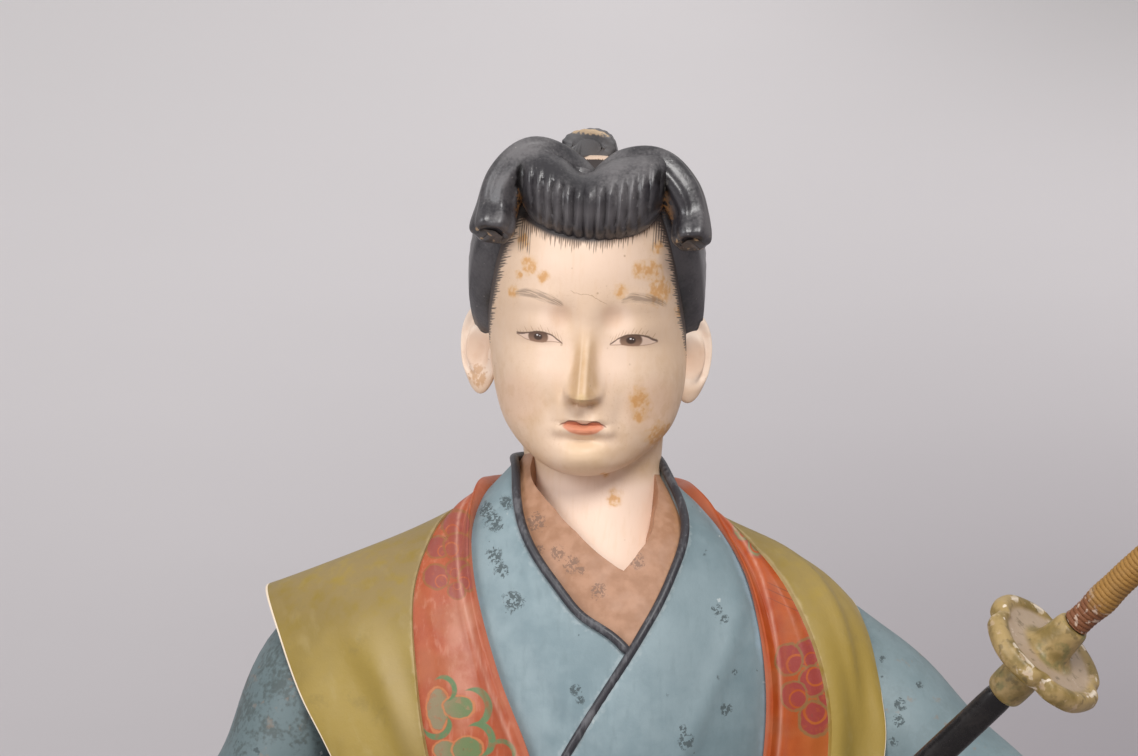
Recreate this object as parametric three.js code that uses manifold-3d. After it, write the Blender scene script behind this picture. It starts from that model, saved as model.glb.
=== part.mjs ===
// A painted clay doll: a youth in a formal sleeveless vest kneels on a low lacquered base and holds a sword
// upright in the left hand. Millimetres, +Z up. The figure faces -Y, and the origin is the middle of the
// base's underside.
import * as THREE from "three";
import { mergeVertices } from "three/addons/utils/BufferGeometryUtils.js";
import Module from "manifold-3d";

const wasm = await Module();
wasm.setup();

// Driving dimensions
const FIGURE_HEIGHT = 203; // base top to the top of the topknot
const FIGURE_BACK = 7; // the figure's own axis lies this far behind the middle of the base
const BASE_WIDTH = 170;
const BASE_DEPTH = 142;
const BASE_HEIGHT = 18;
const BASE_CORNER = 16;
const BASE_BEVEL = 2.4;
const REST_GAP = 0.3; // between pieces that touch
const SCABBARD_LENGTH = 115;
const SCABBARD_WIDTH = 4.4;
const SCABBARD_THICKNESS = 3.4;
const GRIP_CLEARANCE = 0.3; // between the scabbard and the fist around it
const GUARD_RADIUS = 10.4;
const GUARD_THICKNESS = 1.9;
const GUARD_RIM = 0.6; // how far the guard's rim stands above its plate
const HUB_RADIUS = 3;
const HUB_BELOW = 8.2; // length of the hub on the scabbard's side of the plate
const HUB_ABOVE = 5.8; // and on the hilt's side
const HILT_LENGTH = 40;
const HILT_RADIUS = 2.2;

// The figure is drawn 203 units tall, and every part of it is a share of its height.
const DRAWN_HEIGHT = 203;
const SHARE = FIGURE_HEIGHT / DRAWN_HEIGHT;
const FIGURE_FOOT = new THREE.Vector3(0, FIGURE_BACK, BASE_HEIGHT + REST_GAP);

const FIGURE_FACES = 8300;

const TAU = Math.PI * 2;
const degrees = (angle) => (angle * Math.PI) / 180;
const vector = (x, y, z) => new THREE.Vector3(x, y, z);
const bump = (distance) => Math.exp(-distance * distance);
const oval = (x, z, cx, cz, rx, rz) => bump(Math.hypot((x - cx) / rx, (z - cz) / rz));
const step = (value, low, high) => THREE.MathUtils.smoothstep(value, low, high);

// The row of numbers a share t of the way through rows, on a smooth curve through all of them.
function along(rows, t) {
  const spans = rows.length - 1;
  const place = Math.min(Math.max(t, 0) * spans, spans - 1e-9);
  const first = Math.floor(place);
  const f = place - first;
  const row = (k) => rows[Math.min(Math.max(k, 0), spans)];
  const [a, b, c, d] = [row(first - 1), row(first), row(first + 1), row(first + 2)];
  return b.map((_, k) => {
    const bend = 3 * (b[k] - c[k]) + d[k] - a[k];
    const slope = c[k] - a[k] + f * (2 * a[k] - 5 * b[k] + 4 * c[k] - d[k] + f * bend);
    return b[k] + 0.5 * f * slope;
  });
}

// The share t at which the first number of rows, which rises all the way, reaches a value.
function shareAt(rows, value) {
  let low = 0;
  let high = 1;
  for (let i = 0; i < 24; i++) {
    const middle = (low + high) / 2;
    if (along(rows, middle)[0] < value) low = middle;
    else high = middle;
  }
  return (low + high) / 2;
}

// A table of [angle in degrees, value] as a function of an angle in radians, straight between its rows.
function tableOf(rows) {
  return (angle) => {
    const a = (angle * 180) / Math.PI;
    const next = rows.findIndex(([at]) => at >= a);
    if (next <= 0) return rows[next === 0 ? 0 : rows.length - 1][1];
    const [[a0, v0], [a1, v1]] = [rows[next - 1], rows[next]];
    return v0 + ((v1 - v0) * (a - a0)) / (a1 - a0);
  };
}

// Closed forms. Each is a three.js geometry whose points are put in place by a function.

// A sphere: place(a, t) takes the angle a round +Z, 0 at the front (-Y) and a quarter turn at +X, and t
// from foot to top.
function globe(columns, rows, place, crowd = 0) {
  const geometry = new THREE.SphereGeometry(1, columns, rows);
  const { position, uv } = geometry.attributes;
  for (let i = 0; i < position.count; i++) {
    const turn = uv.getX(i) * TAU - TAU / 4;
    const a = turn > Math.PI + 1e-6 ? turn - TAU : turn;
    const p = place(a - crowd * Math.sin(a), THREE.MathUtils.clamp(uv.getY(i), 0, 1));
    position.setXYZ(i, p.x, p.y, p.z);
  }
  return geometry;
}

// Level sections, each [z, half width, front, back, centre x, centre y], with a relief added outwards.
function sectionPoint(sections, a, t, relief = 0) {
  const [z, width, front, back, cx, cy] = along(sections, t);
  const depth = Math.max(Math.cos(a) > 0 ? front : back, 0);
  const reach = Math.max(width, 0);
  const out = Math.hypot(reach * Math.sin(a), depth * Math.cos(a)) || 1;
  const grow = 1 + relief / Math.max(out, 2);
  return vector(cx + reach * Math.sin(a) * grow, cy - depth * Math.cos(a) * grow, z);
}

function stack(sections, columns, rows, relief = () => 0, crowd = 0) {
  const place = (a, t) => sectionPoint(sections, a, t, relief(a, along(sections, t)[0], t));
  return globe(columns, rows, place, crowd);
}

// Oval sections across a curve, each [x, y, z, half width, half thickness]. The width lies along `side`.
function limb(sections, side, columns, rows, relief = () => 0) {
  const centre = (t) => vector(...along(sections, t).slice(0, 3));
  return globe(columns, rows, (a, t) => {
    const [, , , width, thickness] = along(sections, t);
    const tangent = centre(Math.min(t + 0.02, 1)).sub(centre(Math.max(t - 0.02, 0))).normalize();
    const across = side.clone().addScaledVector(tangent, -side.dot(tangent)).normalize();
    const through = tangent.clone().cross(across);
    const grow = 1 + relief(a, t);
    return centre(t)
      .addScaledVector(across, Math.max(width, 0) * Math.sin(a) * grow)
      .addScaledVector(through, -Math.max(thickness, 0) * Math.cos(a) * grow);
  });
}

// A sheet between two edges, each a list of [x, y, z] that the other matches row by row. It lies
// `thickness(u, v)` deep.
function sheet(leftEdge, rightEdge, columns, rows, thickness, lift = () => 0) {
  const surface = (u, v) => vector(...along(leftEdge, v)).lerp(vector(...along(rightEdge, v)), u);
  const h = 0.01;
  const normal = (u, v) => {
    const across = surface(u + h, v).sub(surface(u - h, v));
    const up = surface(u, Math.min(v + h, 1)).sub(surface(u, Math.max(v - h, 0)));
    return across.cross(up).normalize();
  };
  const geometry = new THREE.BoxGeometry(1, 1, 1, columns, rows, 1);
  const { position } = geometry.attributes;
  for (let i = 0; i < position.count; i++) {
    const u = position.getX(i) + 0.5;
    const v = position.getY(i) + 0.5;
    const depth = position.getZ(i) > 0 ? lift(u, v) : lift(u, v) - thickness(u, v);
    const p = surface(u, v).addScaledVector(normal(u, v), depth);
    position.setXYZ(i, p.x, p.y, p.z);
  }
  return geometry;
}

function ball(x, y, z, rx, ry, rz, columns = 12, rows = 8) {
  return new THREE.SphereGeometry(1, columns, rows).rotateX(TAU / 4).scale(rx, ry, rz).translate(x, y, z);
}

// Joining and cutting
function solid(geometry) {
  geometry.deleteAttribute("normal");
  geometry.deleteAttribute("uv");
  const merged = mergeVertices(geometry, 1e-4);
  const corners = merged.index.array;
  const faces = [];
  for (let i = 0; i < corners.length; i += 3) {
    const [a, b, c] = corners.subarray(i, i + 3);
    if (a !== b && b !== c && c !== a) faces.push(a, b, c);
  }
  const mesh = new wasm.Mesh({
    numProp: 3,
    vertProperties: merged.attributes.position.array,
    triVerts: new Uint32Array(faces),
  });
  return new wasm.Manifold(mesh);
}

const join = (geometries) => geometries.map(solid).reduce((whole, next) => whole.add(next));

// The faces of the outer skin only, so that nothing is left closed in a pocket between two joined forms.
function outerSkin(vertices, faces) {
  const owner = Array.from({ length: vertices.length / 3 }, (_, i) => i);
  const find = (i) => {
    while (owner[i] !== i) i = owner[i] = owner[owner[i]];
    return i;
  };
  for (let i = 0; i < faces.length; i += 3) {
    owner[find(faces[i])] = find(faces[i + 1]);
    owner[find(faces[i + 1])] = find(faces[i + 2]);
  }
  const volumes = new Map();
  const corner = (i) => vector(...vertices.subarray(3 * i, 3 * i + 3));
  for (let i = 0; i < faces.length; i += 3) {
    const [a, b, c] = [corner(faces[i]), corner(faces[i + 1]), corner(faces[i + 2])];
    volumes.set(find(faces[i]), (volumes.get(find(faces[i])) ?? 0) + a.dot(b.cross(c)));
  }
  const largest = Math.max(...volumes.values());
  return faces.filter((_, i) => volumes.get(find(faces[i - (i % 3)])) === largest);
}

function geometryOf(manifold) {
  const { vertProperties, triVerts } = manifold.getMesh();
  const geometry = new THREE.BufferGeometry();
  geometry.setAttribute("position", new THREE.BufferAttribute(vertProperties, 3));
  geometry.setIndex(new THREE.BufferAttribute(outerSkin(vertProperties, triVerts), 1));
  return geometry;
}

// The head, drawn level about a point between the ears and then tilted.
const HEAD_AT = vector(0.3, 0, 171.2);
const HEAD_TILT = new THREE.Euler(degrees(4), degrees(2.5), degrees(-4), "ZYX");
const headPlace = new THREE.Matrix4().makeRotationFromEuler(HEAD_TILT).setPosition(HEAD_AT);

const SKULL = [
  // z, half width, front, back, centre x, centre y
  [-22.4, 0, 0, 0, 0, -10.5],
  [-22.0, 3.6, 4.4, 4, 0, -10.5],
  [-20.6, 7.1, 7.4, 6.5, 0.2, -9.4],
  [-18.2, 10.4, 10.6, 9.5, 0.2, -6.6],
  [-14.8, 13.3, 13.4, 12.5, 0.2, -3.8],
  [-10.6, 14.9, 16.2, 15.5, 0, -1],
  [-6, 15.6, 18.0, 17.5, -0.3, 0.8],
  [-1.2, 15.9, 18.8, 18, -0.8, 2],
  [5, 16.1, 20.2, 18, -1.2, 2.6],
  [11.4, 16.1, 20.4, 18, -1.3, 2.8],
  [17.6, 15, 18.4, 17, -1.2, 2.8],
  [22.2, 12.7, 14.6, 14.6, -0.8, 2.6],
  [25.6, 9, 9.6, 10.2, 0, 2.4],
  [27.6, 4.6, 5, 5.4, 0, 2.2],
  [28, 0, 0, 0, 0, 2],
];

const FACE_MIDDLE = 0.35;
const NOSE_MIDDLE = 0.2;

// Height of the face's carving over the skull, at x across and z up.
function faceRelief(x, z) {
  const c = x - FACE_MIDDLE;
  const side = Math.abs(c);
  const n = x - NOSE_MIDDLE;
  const bridge = step(z - 0.16 * n * n, -10.9, -9.3) * (1 - step(z, -9, 2.6));
  const noseWidth = 1.3 + 0.6 * (1 - step(z, -9, -3));
  const nose = 4.5 * bridge * bump(n / noseWidth) + 0.5 * oval(n, z, 0, -8.5, 1.5, 1.4);
  const wings = 1.5 * oval(Math.abs(n), z, 2.1, -9, 0.9, 1.1);
  const sockets = -1.2 * oval(side, z, 4, 2.6, 2.3, 2.7);
  const lids = 0.75 * oval(side, z, 7.3, 1.2, 3.4, 2) + 0.4 * oval(side, z, 8, 5.6, 4.5, 1.8);
  const cheeks = 0.8 * oval(side, z, 8.6, -7, 5, 4.5) - 0.35 * oval(side, z, 5.4, -12, 1.1, 2.6);
  const muzzle = 0.8 * oval(c, z, 0, -12.6, 4.6, 3);
  const lips = 0.45 * oval(side, z, 1.3, -12.8, 1.3, 0.6) + 0.9 * oval(c, z, 0, -14.6, 2.4, 0.8);
  const mouth = -0.6 * oval(c, z, 0, -13.6, 3.2, 0.4);
  const underLip = -0.9 * oval(c, z, 0, -16.2, 3.3, 0.8);
  const chin = 1.1 * oval(c, z, 0, -18.7, 3.8, 1.9);
  return nose + wings + sockets + lids + cheeks + muzzle + lips + mouth + underLip + chin;
}

const FACE_CROWD = 0.55;

function skull() {
  const relief = (a, z) => {
    const x = sectionPoint(SKULL, a, shareAt(SKULL, z)).x;
    return Math.cos(a) > 0 ? faceRelief(x, z) * step(Math.cos(a), 0, 0.5) : 0;
  };
  return stack(SKULL, 40, 42, relief, FACE_CROWD);
}

// Hair over the back and sides of the skull, with its edge in front of the ears and a shaved patch on the
// crown.
const HAIRLINE = [
  // z, angle from the front in degrees
  [-15, 176],
  [-10, 146],
  [-6, 116],
  [-3, 95],
  [1, 82],
  [6, 70],
  [12, 61],
  [18, 54],
  [26, 44],
];
const HAIR_THICKNESS = 2.9;
const HAIR_TURN = degrees(3); // the hairline sits a little round to the wearer's left
const PATCH_HEIGHT = 25.4;

// A quarter turn of the even angle falls on the hairline, so that one row of points follows it.
function hairAngle(even, z) {
  const edge = degrees(along(HAIRLINE, shareAt(HAIRLINE, z))[1]);
  const around = Math.abs(even);
  const quarter = TAU / 4;
  const front = (around * edge) / quarter;
  const behind = edge + ((around - quarter) * (Math.PI - edge)) / quarter;
  return Math.sign(even) * (around < quarter ? front : behind) + HAIR_TURN;
}

function hairCap() {
  return globe(36, 26, (even, t) => {
    const z = along(SKULL, t)[0];
    const thickness = HAIR_THICKNESS * (0.55 + 0.45 * step(z, -8, 6));
    const grown = step(Math.abs(even), degrees(84), degrees(98)) * step(z, -16, -12);
    const cover = grown * (1 - step(z, PATCH_HEIGHT - 1, PATCH_HEIGHT + 1));
    return sectionPoint(SKULL, hairAngle(even, z), t, -1.2 + (thickness + 1.2) * cover);
  });
}

// The fringe: two lobes combed forward from the parting, with a ridge to each lock.
const FRINGE_RIDGES = 15;
const PARTING = -1.3;

function fringe() {
  return globe(60, 10, (a, t) => {
    const tilt = t * Math.PI;
    const flat = Math.sin(tilt);
    const across = Math.sin(a);
    const x = 12.4 * Math.sign(across) * Math.abs(across) ** 0.9 * Math.sqrt(flat);
    const front = step(Math.cos(a), 0, 0.4);
    const comb = Math.cos((x / 24.8) * FRINGE_RIDGES * TAU);
    const ridges = 0.5 * front * flat * comb * (1 - step(t, 0.6, 0.98));
    const parting = -1.5 * flat * bump((x - PARTING) / 1.9) * step(t, 0.25, 0.9);
    const depth = 8 * flat + ridges + parting * front;
    const lobes = -2.3 * bump((x - PARTING) / 2.8) * step(t, 0.5, 1);
    return vector(x, -11.2 - depth * Math.cos(a), 20.9 - 6.9 * Math.cos(tilt) + 0.03 * x * x + lobes);
  });
}

// The two thick locks that arch out of the parting and hang at the temples, cut off flat.
const LOCK_RIDGES = 6;

function lock(turn, high, end, half) {
  const path = [
    [0, -7.5, 22, 0, 0],
    [turn * 1, -8.4, 23.4, 2.7, 2.4],
    [turn * 5, -9.4, 26.4, 3.1, 2.9],
    [turn * 9.8, -10.2, 27.1 + high, 3.5, 3.4],
    [turn * 13.6, -11.2, 23.8 + high, 3.4, 3.4],
    [turn * (end - 0.5), -12.5, 19.3, half + 0.1, half + 0.1],
    [turn * end, -14.9, 15.7, half, half],
    [turn * end, -14.98, 15.6, 0, 0],
  ];
  const ridge = (a, t) => 0.05 * Math.cos(a * LOCK_RIDGES) * step(t, 0.15, 0.5);
  return limb(path, vector(0, 0, 1).addScaledVector(vector(1, 0, 0), turn), 24, 14, ridge);
}

function topknot() {
  const path = [
    [0, 17, 18, 0, 0],
    [0, 15.4, 21, 3.4, 3],
    [-0.4, 11.5, 26.4, 3.0, 2.6],
    [-1, 6.5, 29, 3.3, 2.5],
    [-1.5, 0.5, 29.2, 4, 2.6],
    [-1.6, -1.4, 29.1, 4.1, 2.6],
    [-1.6, -1.5, 29.1, 0, 0],
  ];
  return limb(path, vector(1, 0, 0), 16, 12);
}

// The gathered roll of hair over the nape.
function napeRoll() {
  return ball(0, 15.5, -3, 9.5, 8.5, 11, 16, 10);
}

function ear(turn) {
  const height = 7.4;
  const depth = 4.2;
  const thickness = 1.5;
  const flare = degrees(50);
  const back = vector(turn * Math.sin(flare), Math.cos(flare), 0);
  const out = vector(turn * Math.cos(flare), -Math.sin(flare), 0);
  return globe(16, 10, (a, t) => {
    const flat = Math.sin(t * Math.PI);
    const e = -Math.cos(a) * flat;
    const n = Math.sin(a) * flat * turn;
    const z = -Math.cos(t * Math.PI);
    const bowl = 1.5 * step(n, 0, 0.5) * oval(e, z, -0.1, 0.1, 0.6, 0.62);
    return vector(turn * 16.8 - 1.1, 2.6, -4.3)
      .addScaledVector(back, depth * e * (1 + 0.16 * z))
      .addScaledVector(out, thickness * n - bowl)
      .add(vector(0, 0, height * z));
  });
}

function headForms() {
  const locks = [lock(-1, 0.3, 15.5, 3.2), lock(1, -0.5, 16.1, 2.8)];
  const hair = [hairCap(), fringe(), ...locks, topknot(), napeRoll()];
  const forms = [skull(), ...hair, ear(-1), ear(1)];
  return forms.map((geometry) => geometry.applyMatrix4(headPlace));
}

// Neck and chest under the robes.
const NECK = [
  [108, 0, 0, 0, 0, 0],
  [109, 22, 17, 14, 0, 0],
  [124, 20, 16.6, 13, 0, 0],
  [133, 15.5, 13.9, 12, 0, 0.6],
  [140, 12.2, 11.2, 11.4, 0.3, 1.2],
  [148, 10.9, 9.6, 11, 0.5, 1.8],
  [158, 10.6, 9.4, 11, 0.2, 2],
  [162, 0, 0, 0, 0, 2],
];

// The robes' outer surface, from the seat to the collar.
const ROBE = [
  [28, 30, 24, 28, 0, 0],
  [46, 28, 23, 24, 0, 0],
  [62, 27, 22.4, 21.5, 0, 0],
  [80, 29.5, 23.4, 21, 0, 0],
  [96, 34, 24, 21.5, 0, 0],
  [110, 38, 23.4, 21.5, 0, 0],
  [121, 38.6, 21.2, 20.6, 0, 0],
  [129, 35, 18.4, 19.4, 0, 0.4],
  [136, 28.4, 15.8, 17.8, 0, 0.9],
  [142, 19.4, 13.8, 16, -0.6, 1.4],
  [147, 13.8, 12.4, 14.8, -0.9, 1.9],
  [151, 10.8, 11.5, 13.6, -0.6, 2],
  [155, 10.2, 11, 13, -0.5, 2.2],
];

// How high each robe reaches, by the angle from the front: two curves that meet in a V.
const OUTER_NECKLINE = [
  [-180, 150],
  [-160, 150],
  [-140, 150.1],
  [-120, 150.2],
  [-100, 150.2],
  [-80, 150.2],
  [-62, 149],
  [-42.3, 145.1],
  [-27.8, 140.3],
  [-16.7, 135.4],
  [-9, 131.2],
  [-3.5, 127.1],
  [0.8, 125.2],
  [5.7, 123.2],
  [8.9, 120.6],
  [11.4, 123.6],
  [16.9, 128.3],
  [23, 133.1],
  [28.9, 136.2],
  [39.1, 139.5],
  [51.4, 142.6],
  [62, 145.5],
  [74, 148.3],
  [90, 150],
  [110, 150.2],
  [130, 150.1],
  [155, 150],
  [180, 150],
];
const INNER_NECKLINE = [
  [-180, 151.8],
  [-80, 151.8],
  [-61, 151.4],
  [-53, 149.1],
  [-37, 146.5],
  [-28, 145.1],
  [-17, 142.9],
  [-5.1, 139.3],
  [2.7, 135.9],
  [9.8, 133.2],
  [17.1, 136.4],
  [25.1, 138.8],
  [36.6, 142.1],
  [49, 144.5],
  [65, 147.4],
  [79, 150.5],
  [92, 151.6],
  [180, 151.8],
];
const outerNeckline = tableOf(OUTER_NECKLINE);
const innerNeckline = tableOf(INNER_NECKLINE);

// The left robe panel's edge below the V, as [angle in degrees, z], down to the waist.
const OVERLAP = [
  [8.9, 120.6],
  [1.1, 112.5],
  [-6.6, 104.5],
  [-16, 94],
  [-27, 81],
  [-36, 68],
  [-40, 60],
];

function overlapStep(a, z) {
  const rising = OVERLAP.map(([angle, height]) => [height, angle]).reverse();
  const edge = degrees(along(rising, shareAt(rising, Math.min(z, 120.6)))[1]);
  return 0.8 * step((a - edge) * 24, -0.5, 0.5) * step(Math.cos(a), 0, 0.4);
}

// A robe whose wall ends at a neckline and then turns in towards the chest.
function robe(sections, neckline, lift, columns, rows) {
  const wall = 0.9;
  const inside = vector(0, 0, 112);
  return globe(
    columns,
    rows,
    (a, t) => {
      const rim = shareAt(sections, neckline(a));
      const share = rim * Math.min(t / wall, 1);
      const z = along(sections, share)[0];
      const outer = sectionPoint(sections, a, share, lift(a, z));
      if (t <= wall) return outer.lerp(vector(0, 0, z), Math.max(0, 1 - t * rows));
      return outer.lerp(inside, (t - wall) / (1 - wall));
    },
    0.45,
  );
}

// A round cord laid on the robe's surface through [angle in degrees, z] points.
const PIPING = 0.72;

function piping(points, rows) {
  const path = points.map(([angle, z]) => {
    const lift = 0.5 + overlapStep(degrees(angle - 1), z) * 0.6;
    const p = sectionPoint(ROBE, degrees(angle), shareAt(ROBE, z), lift);
    return [p.x, p.y, p.z, PIPING, PIPING];
  });
  const [first, last] = [path[0], path[path.length - 1]];
  const ends = [[...first.slice(0, 3), 0, 0], ...path, [...last.slice(0, 3), 0, 0]];
  return limb(ends, vector(0, 1, 0.3), 6, rows);
}

function bothPipings() {
  const left = OUTER_NECKLINE.filter(([angle]) => angle < 9);
  const right = OUTER_NECKLINE.filter(([angle]) => angle > 9).reverse();
  return [piping([[-188, 150.1], ...left], 30), piping([[184, 150], ...right, ...OVERLAP], 37)];
}

// The vest. Its edges run from the front of the waist over the shoulder to the back, x growing from left to
// right.
const VEST_BACK = [
  [0, 23.4, 104],
  [0, 22.4, 60],
];
const RIGHT_WING = [
  // the wearer's right, at the photograph's left: the free edge of the stiff shoulder
  [-20, -21, 60],
  [-31, -21, 82],
  [-40.3, -16.6, 103],
  [-46, -12.8, 113.8],
  [-49.9, -8, 123.6],
  [-52, -2, 129.2],
  [-51.4, 6, 129.6],
  [-50, 10.8, 126.6],
  [-47.4, 14.4, 120.4],
  [-43.6, 16.4, 110],
  [-37, 17.4, 92],
  [-20, 13.5, 60],
];
const RIGHT_SEAM = [
  [-12.5, -22.8, 60],
  [-19, -24.4, 82],
  [-25, -23.4, 103],
  [-27.3, -21.2, 117],
  [-27.9, -16.4, 130],
  [-24.8, -8.6, 139.4],
  [-20.8, 1, 142.8],
  [-13.4, 12, 144],
  [-6, 18.4, 142],
  [0.9, 20.6, 138],
];
const LEFT_SEAM = [
  [22, -20.6, 60],
  [33, -20.6, 82],
  [37.3, -18.6, 103],
  [36.5, -17, 117],
  [31.4, -13.4, 130.2],
  [23.9, -6, 139],
  [17.4, 3, 142.8],
  [14.8, 12.6, 142.2],
  [6, 18.4, 142],
  [-0.9, 20.6, 138],
];
// The bands' inner edges lie on the robe, each point an angle in degrees and a height.
const RIGHT_LAPEL = [
  [-2, 60],
  [-7, 82],
  [-13.8, 103],
  [-21, 117.5],
  [-31, 130.5],
  [-50, 139.6],
  [-84, 145.4],
  [-112, 146.9],
  [-145, 147.2],
  [-183, 147.2],
];
const LEFT_LAPEL = [
  [36, 60],
  [52, 82],
  [46.8, 103],
  [43.4, 117],
  [46.2, 131],
  [60.8, 140],
  [83, 144.9],
  [112, 146],
  [145, 146.8],
  [183, 147.2],
];
const LEFT_WING = [
  [28, -17, 60],
  [41, -16.6, 82],
  [45.9, -13.8, 103],
  [45.8, -11.4, 113],
  [44.7, -6, 121.6],
  [42.2, 1, 127.4],
  [41, 9, 126],
  [40.9, 13.6, 121.4],
  [40.3, 16.6, 113.4],
  [38.4, 18, 104],
  [34.2, 18, 88],
  [20, 13.5, 60],
];

const vestThickness = (fromSeam) => 1.5 + 3 * (1 - step(fromSeam, 0, 0.5));

// Each panel's seam edge drops from the collar down the middle of the back, a little past it.
function seamWithBack(seam, past) {
  return [...seam, ...VEST_BACK.map(([x, y, z]) => [x + past, y, z])];
}

function vestPanels() {
  const folds = (u, v) => 0.9 * Math.sin(u * 7 + 3.7 * v) * bump((v - 0.2) / 0.13);
  const shoulder = (v) => 1.1 * bump((v - 0.41) / 0.1) - 1.3 * bump((v - 0.55) / 0.08);
  const rightLift = (u, v) => folds(u, v) * 0.5 + shoulder(v) * Math.sin(u * Math.PI);
  const bulge = (v) => 2.4 * bump((v - 0.385) / 0.13) + 1.7 * bump((v - 0.66) / 0.08);
  const leftLift = (u, v) => folds(u, v) + bulge(v) * Math.sin(u * Math.PI);
  return [
    sheet(RIGHT_WING, seamWithBack(RIGHT_SEAM, 0.8), 6, 24, (u) => vestThickness(1 - u), rightLift),
    sheet(seamWithBack(LEFT_SEAM, -0.8), LEFT_WING, 6, 24, (u) => vestThickness(u), leftLift),
  ];
}

function lapels() {
  const onRobe = ([angle, z]) => sectionPoint(ROBE, degrees(angle), shareAt(ROBE, z), 0.9).toArray();
  const rim = (share) => 0.5 + 0.9 * bump((share - 0.1) / 0.08) - 0.8 * step(share, 0.7, 1);
  return [
    sheet(RIGHT_SEAM, RIGHT_LAPEL.map(onRobe), 6, 22, () => 4, (u) => rim(1 - u)),
    sheet(LEFT_LAPEL.map(onRobe), LEFT_SEAM, 6, 22, () => 4, (u) => rim(u)),
  ];
}

// The arms. A ripple across each sleeve gives the folds inside the elbow.
function arms() {
  const folds = (a, t) => 0.06 * Math.sin(t * 26 + 1.5 * Math.cos(a)) * bump((t - 0.55) / 0.25);
  const rightArm = [
    [-26, 3, 128, 0, 0],
    [-30, 2, 124, 11, 12],
    [-41.9, 1, 116, 11, 13],
    [-49, 0, 102, 10, 13],
    [-55, -2, 88, 11.5, 12.5],
    [-54, -12, 74, 11.5, 12],
    [-48, -24, 61, 10.5, 10.4],
    [-41.5, -33, 52, 9.2, 8.4],
    [-41, -33.6, 51.4, 0, 0],
  ];
  const leftArm = [
    [26, 3, 126, 0, 0],
    [30, 2, 121, 11, 12],
    [41, 0.4, 113.6, 11.5, 12],
    [50.5, -1, 105, 11.5, 13],
    [60.5, -6, 94.4, 11.5, 13],
    [62, -19, 86.5, 11.5, 12],
    [51.5, -34, 84.6, 10, 11.6],
    [40.5, -42.4, 85, 8.6, 10],
    [40.3, -42.5, 85, 0, 0],
  ];
  const right = limb(rightArm, vector(1, 0, 0.3), 18, 20, folds);
  const left = limb(leftArm, vector(0.3, 0, 1), 18, 20, folds);
  return [right, left];
}

// The long bags of the sleeves, which hang from the forearms: level ovals turned by `turn`, with hanging
// folds.
function sleeveBag(sections, turn, at) {
  const folds = (a, z) => 0.9 * Math.sin(a * 7) * (1 - step(z, 40, 80));
  const turned = new THREE.Matrix4().makeRotationZ(turn).setPosition(...at);
  return stack(sections, 28, 10, folds).applyMatrix4(turned);
}

function sleeveBags() {
  const right = [
    [0, 0, 0, 0, 0, 0],
    [0.2, 13, 22, 20, 0, 0],
    [14, 14, 24, 21, 0, 0],
    [34, 14, 23, 19, 0, 0],
    [52, 14, 18, 15, 0, 0],
    [72, 15, 10, 13, 0, 0],
    [88, 14, 6, 10, 2, 0],
    [100, 0, 0, 0, 5, 0],
  ];
  const left = [
    [22, 0, 0, 0, 0, 0],
    [22.2, 23, 10, 18, 0, 0],
    [40, 23, 11, 19, 0, 0],
    [60, 20, 11, 19, 0, 0],
    [80, 17, 9, 17, 0, 0],
    [93, 0, 0, 0, 0, 0],
  ];
  return [sleeveBag(right, degrees(-16), [-50, -11, 0]), sleeveBag(left, degrees(47), [43, -16, 0])];
}

// The wide pleated trousers over the folded legs.
const SEAT = [
  [-3, 0, 0, 0, 0, 0],
  [-2.9, 50, 60, 46, 0, 0],
  [3, 54, 63, 50, 0, 0],
  [13, 54.5, 61, 50, 0, 0],
  [22, 52, 55, 48, 0, 0],
  [29, 46, 47, 45, 0, 0],
  [34, 40, 38, 41, 0, 0],
  [41, 33, 30, 36, 0, 0],
  [52, 28.4, 25.4, 28, 0, 0],
  [64, 27.4, 23, 23, 0, 0],
  [66, 0, 0, 0, 0, 0],
];

function seat() {
  const relief = (a, z) => {
    const low = 1 - step(z, 30, 60);
    const knees = -5 * bump(a / 0.3) * low;
    const pleats = 0.9 * Math.cos(a * 22) * step(Math.cos(a), -0.1, 0.4) * low;
    const backFolds = 1.2 * Math.cos(a * 9) * step(-Math.cos(a), 0, 0.5) * low;
    return knees + pleats + backFolds;
  };
  return stack(SEAT, 66, 11, relief, 0.2);
}

function thigh(turn) {
  const path = [
    [turn * 12, 14, 38, 0, 0],
    [turn * 14, 8, 38, 14, 13],
    [turn * 20, -14, 28, 19, 16],
    [turn * 26, -36, 20, 21, 18],
    [turn * 28.5, -51, 15, 20, 17.5],
    [turn * 29, -62, 9, 13, 12],
    [turn * 29, -65, 7, 0, 0],
  ];
  const pleats = (a, t) => 0.035 * Math.cos(a * 9) * step(t, 0.1, 0.3);
  return limb(path, vector(1, 0, 0), 36, 9, pleats);
}

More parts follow.
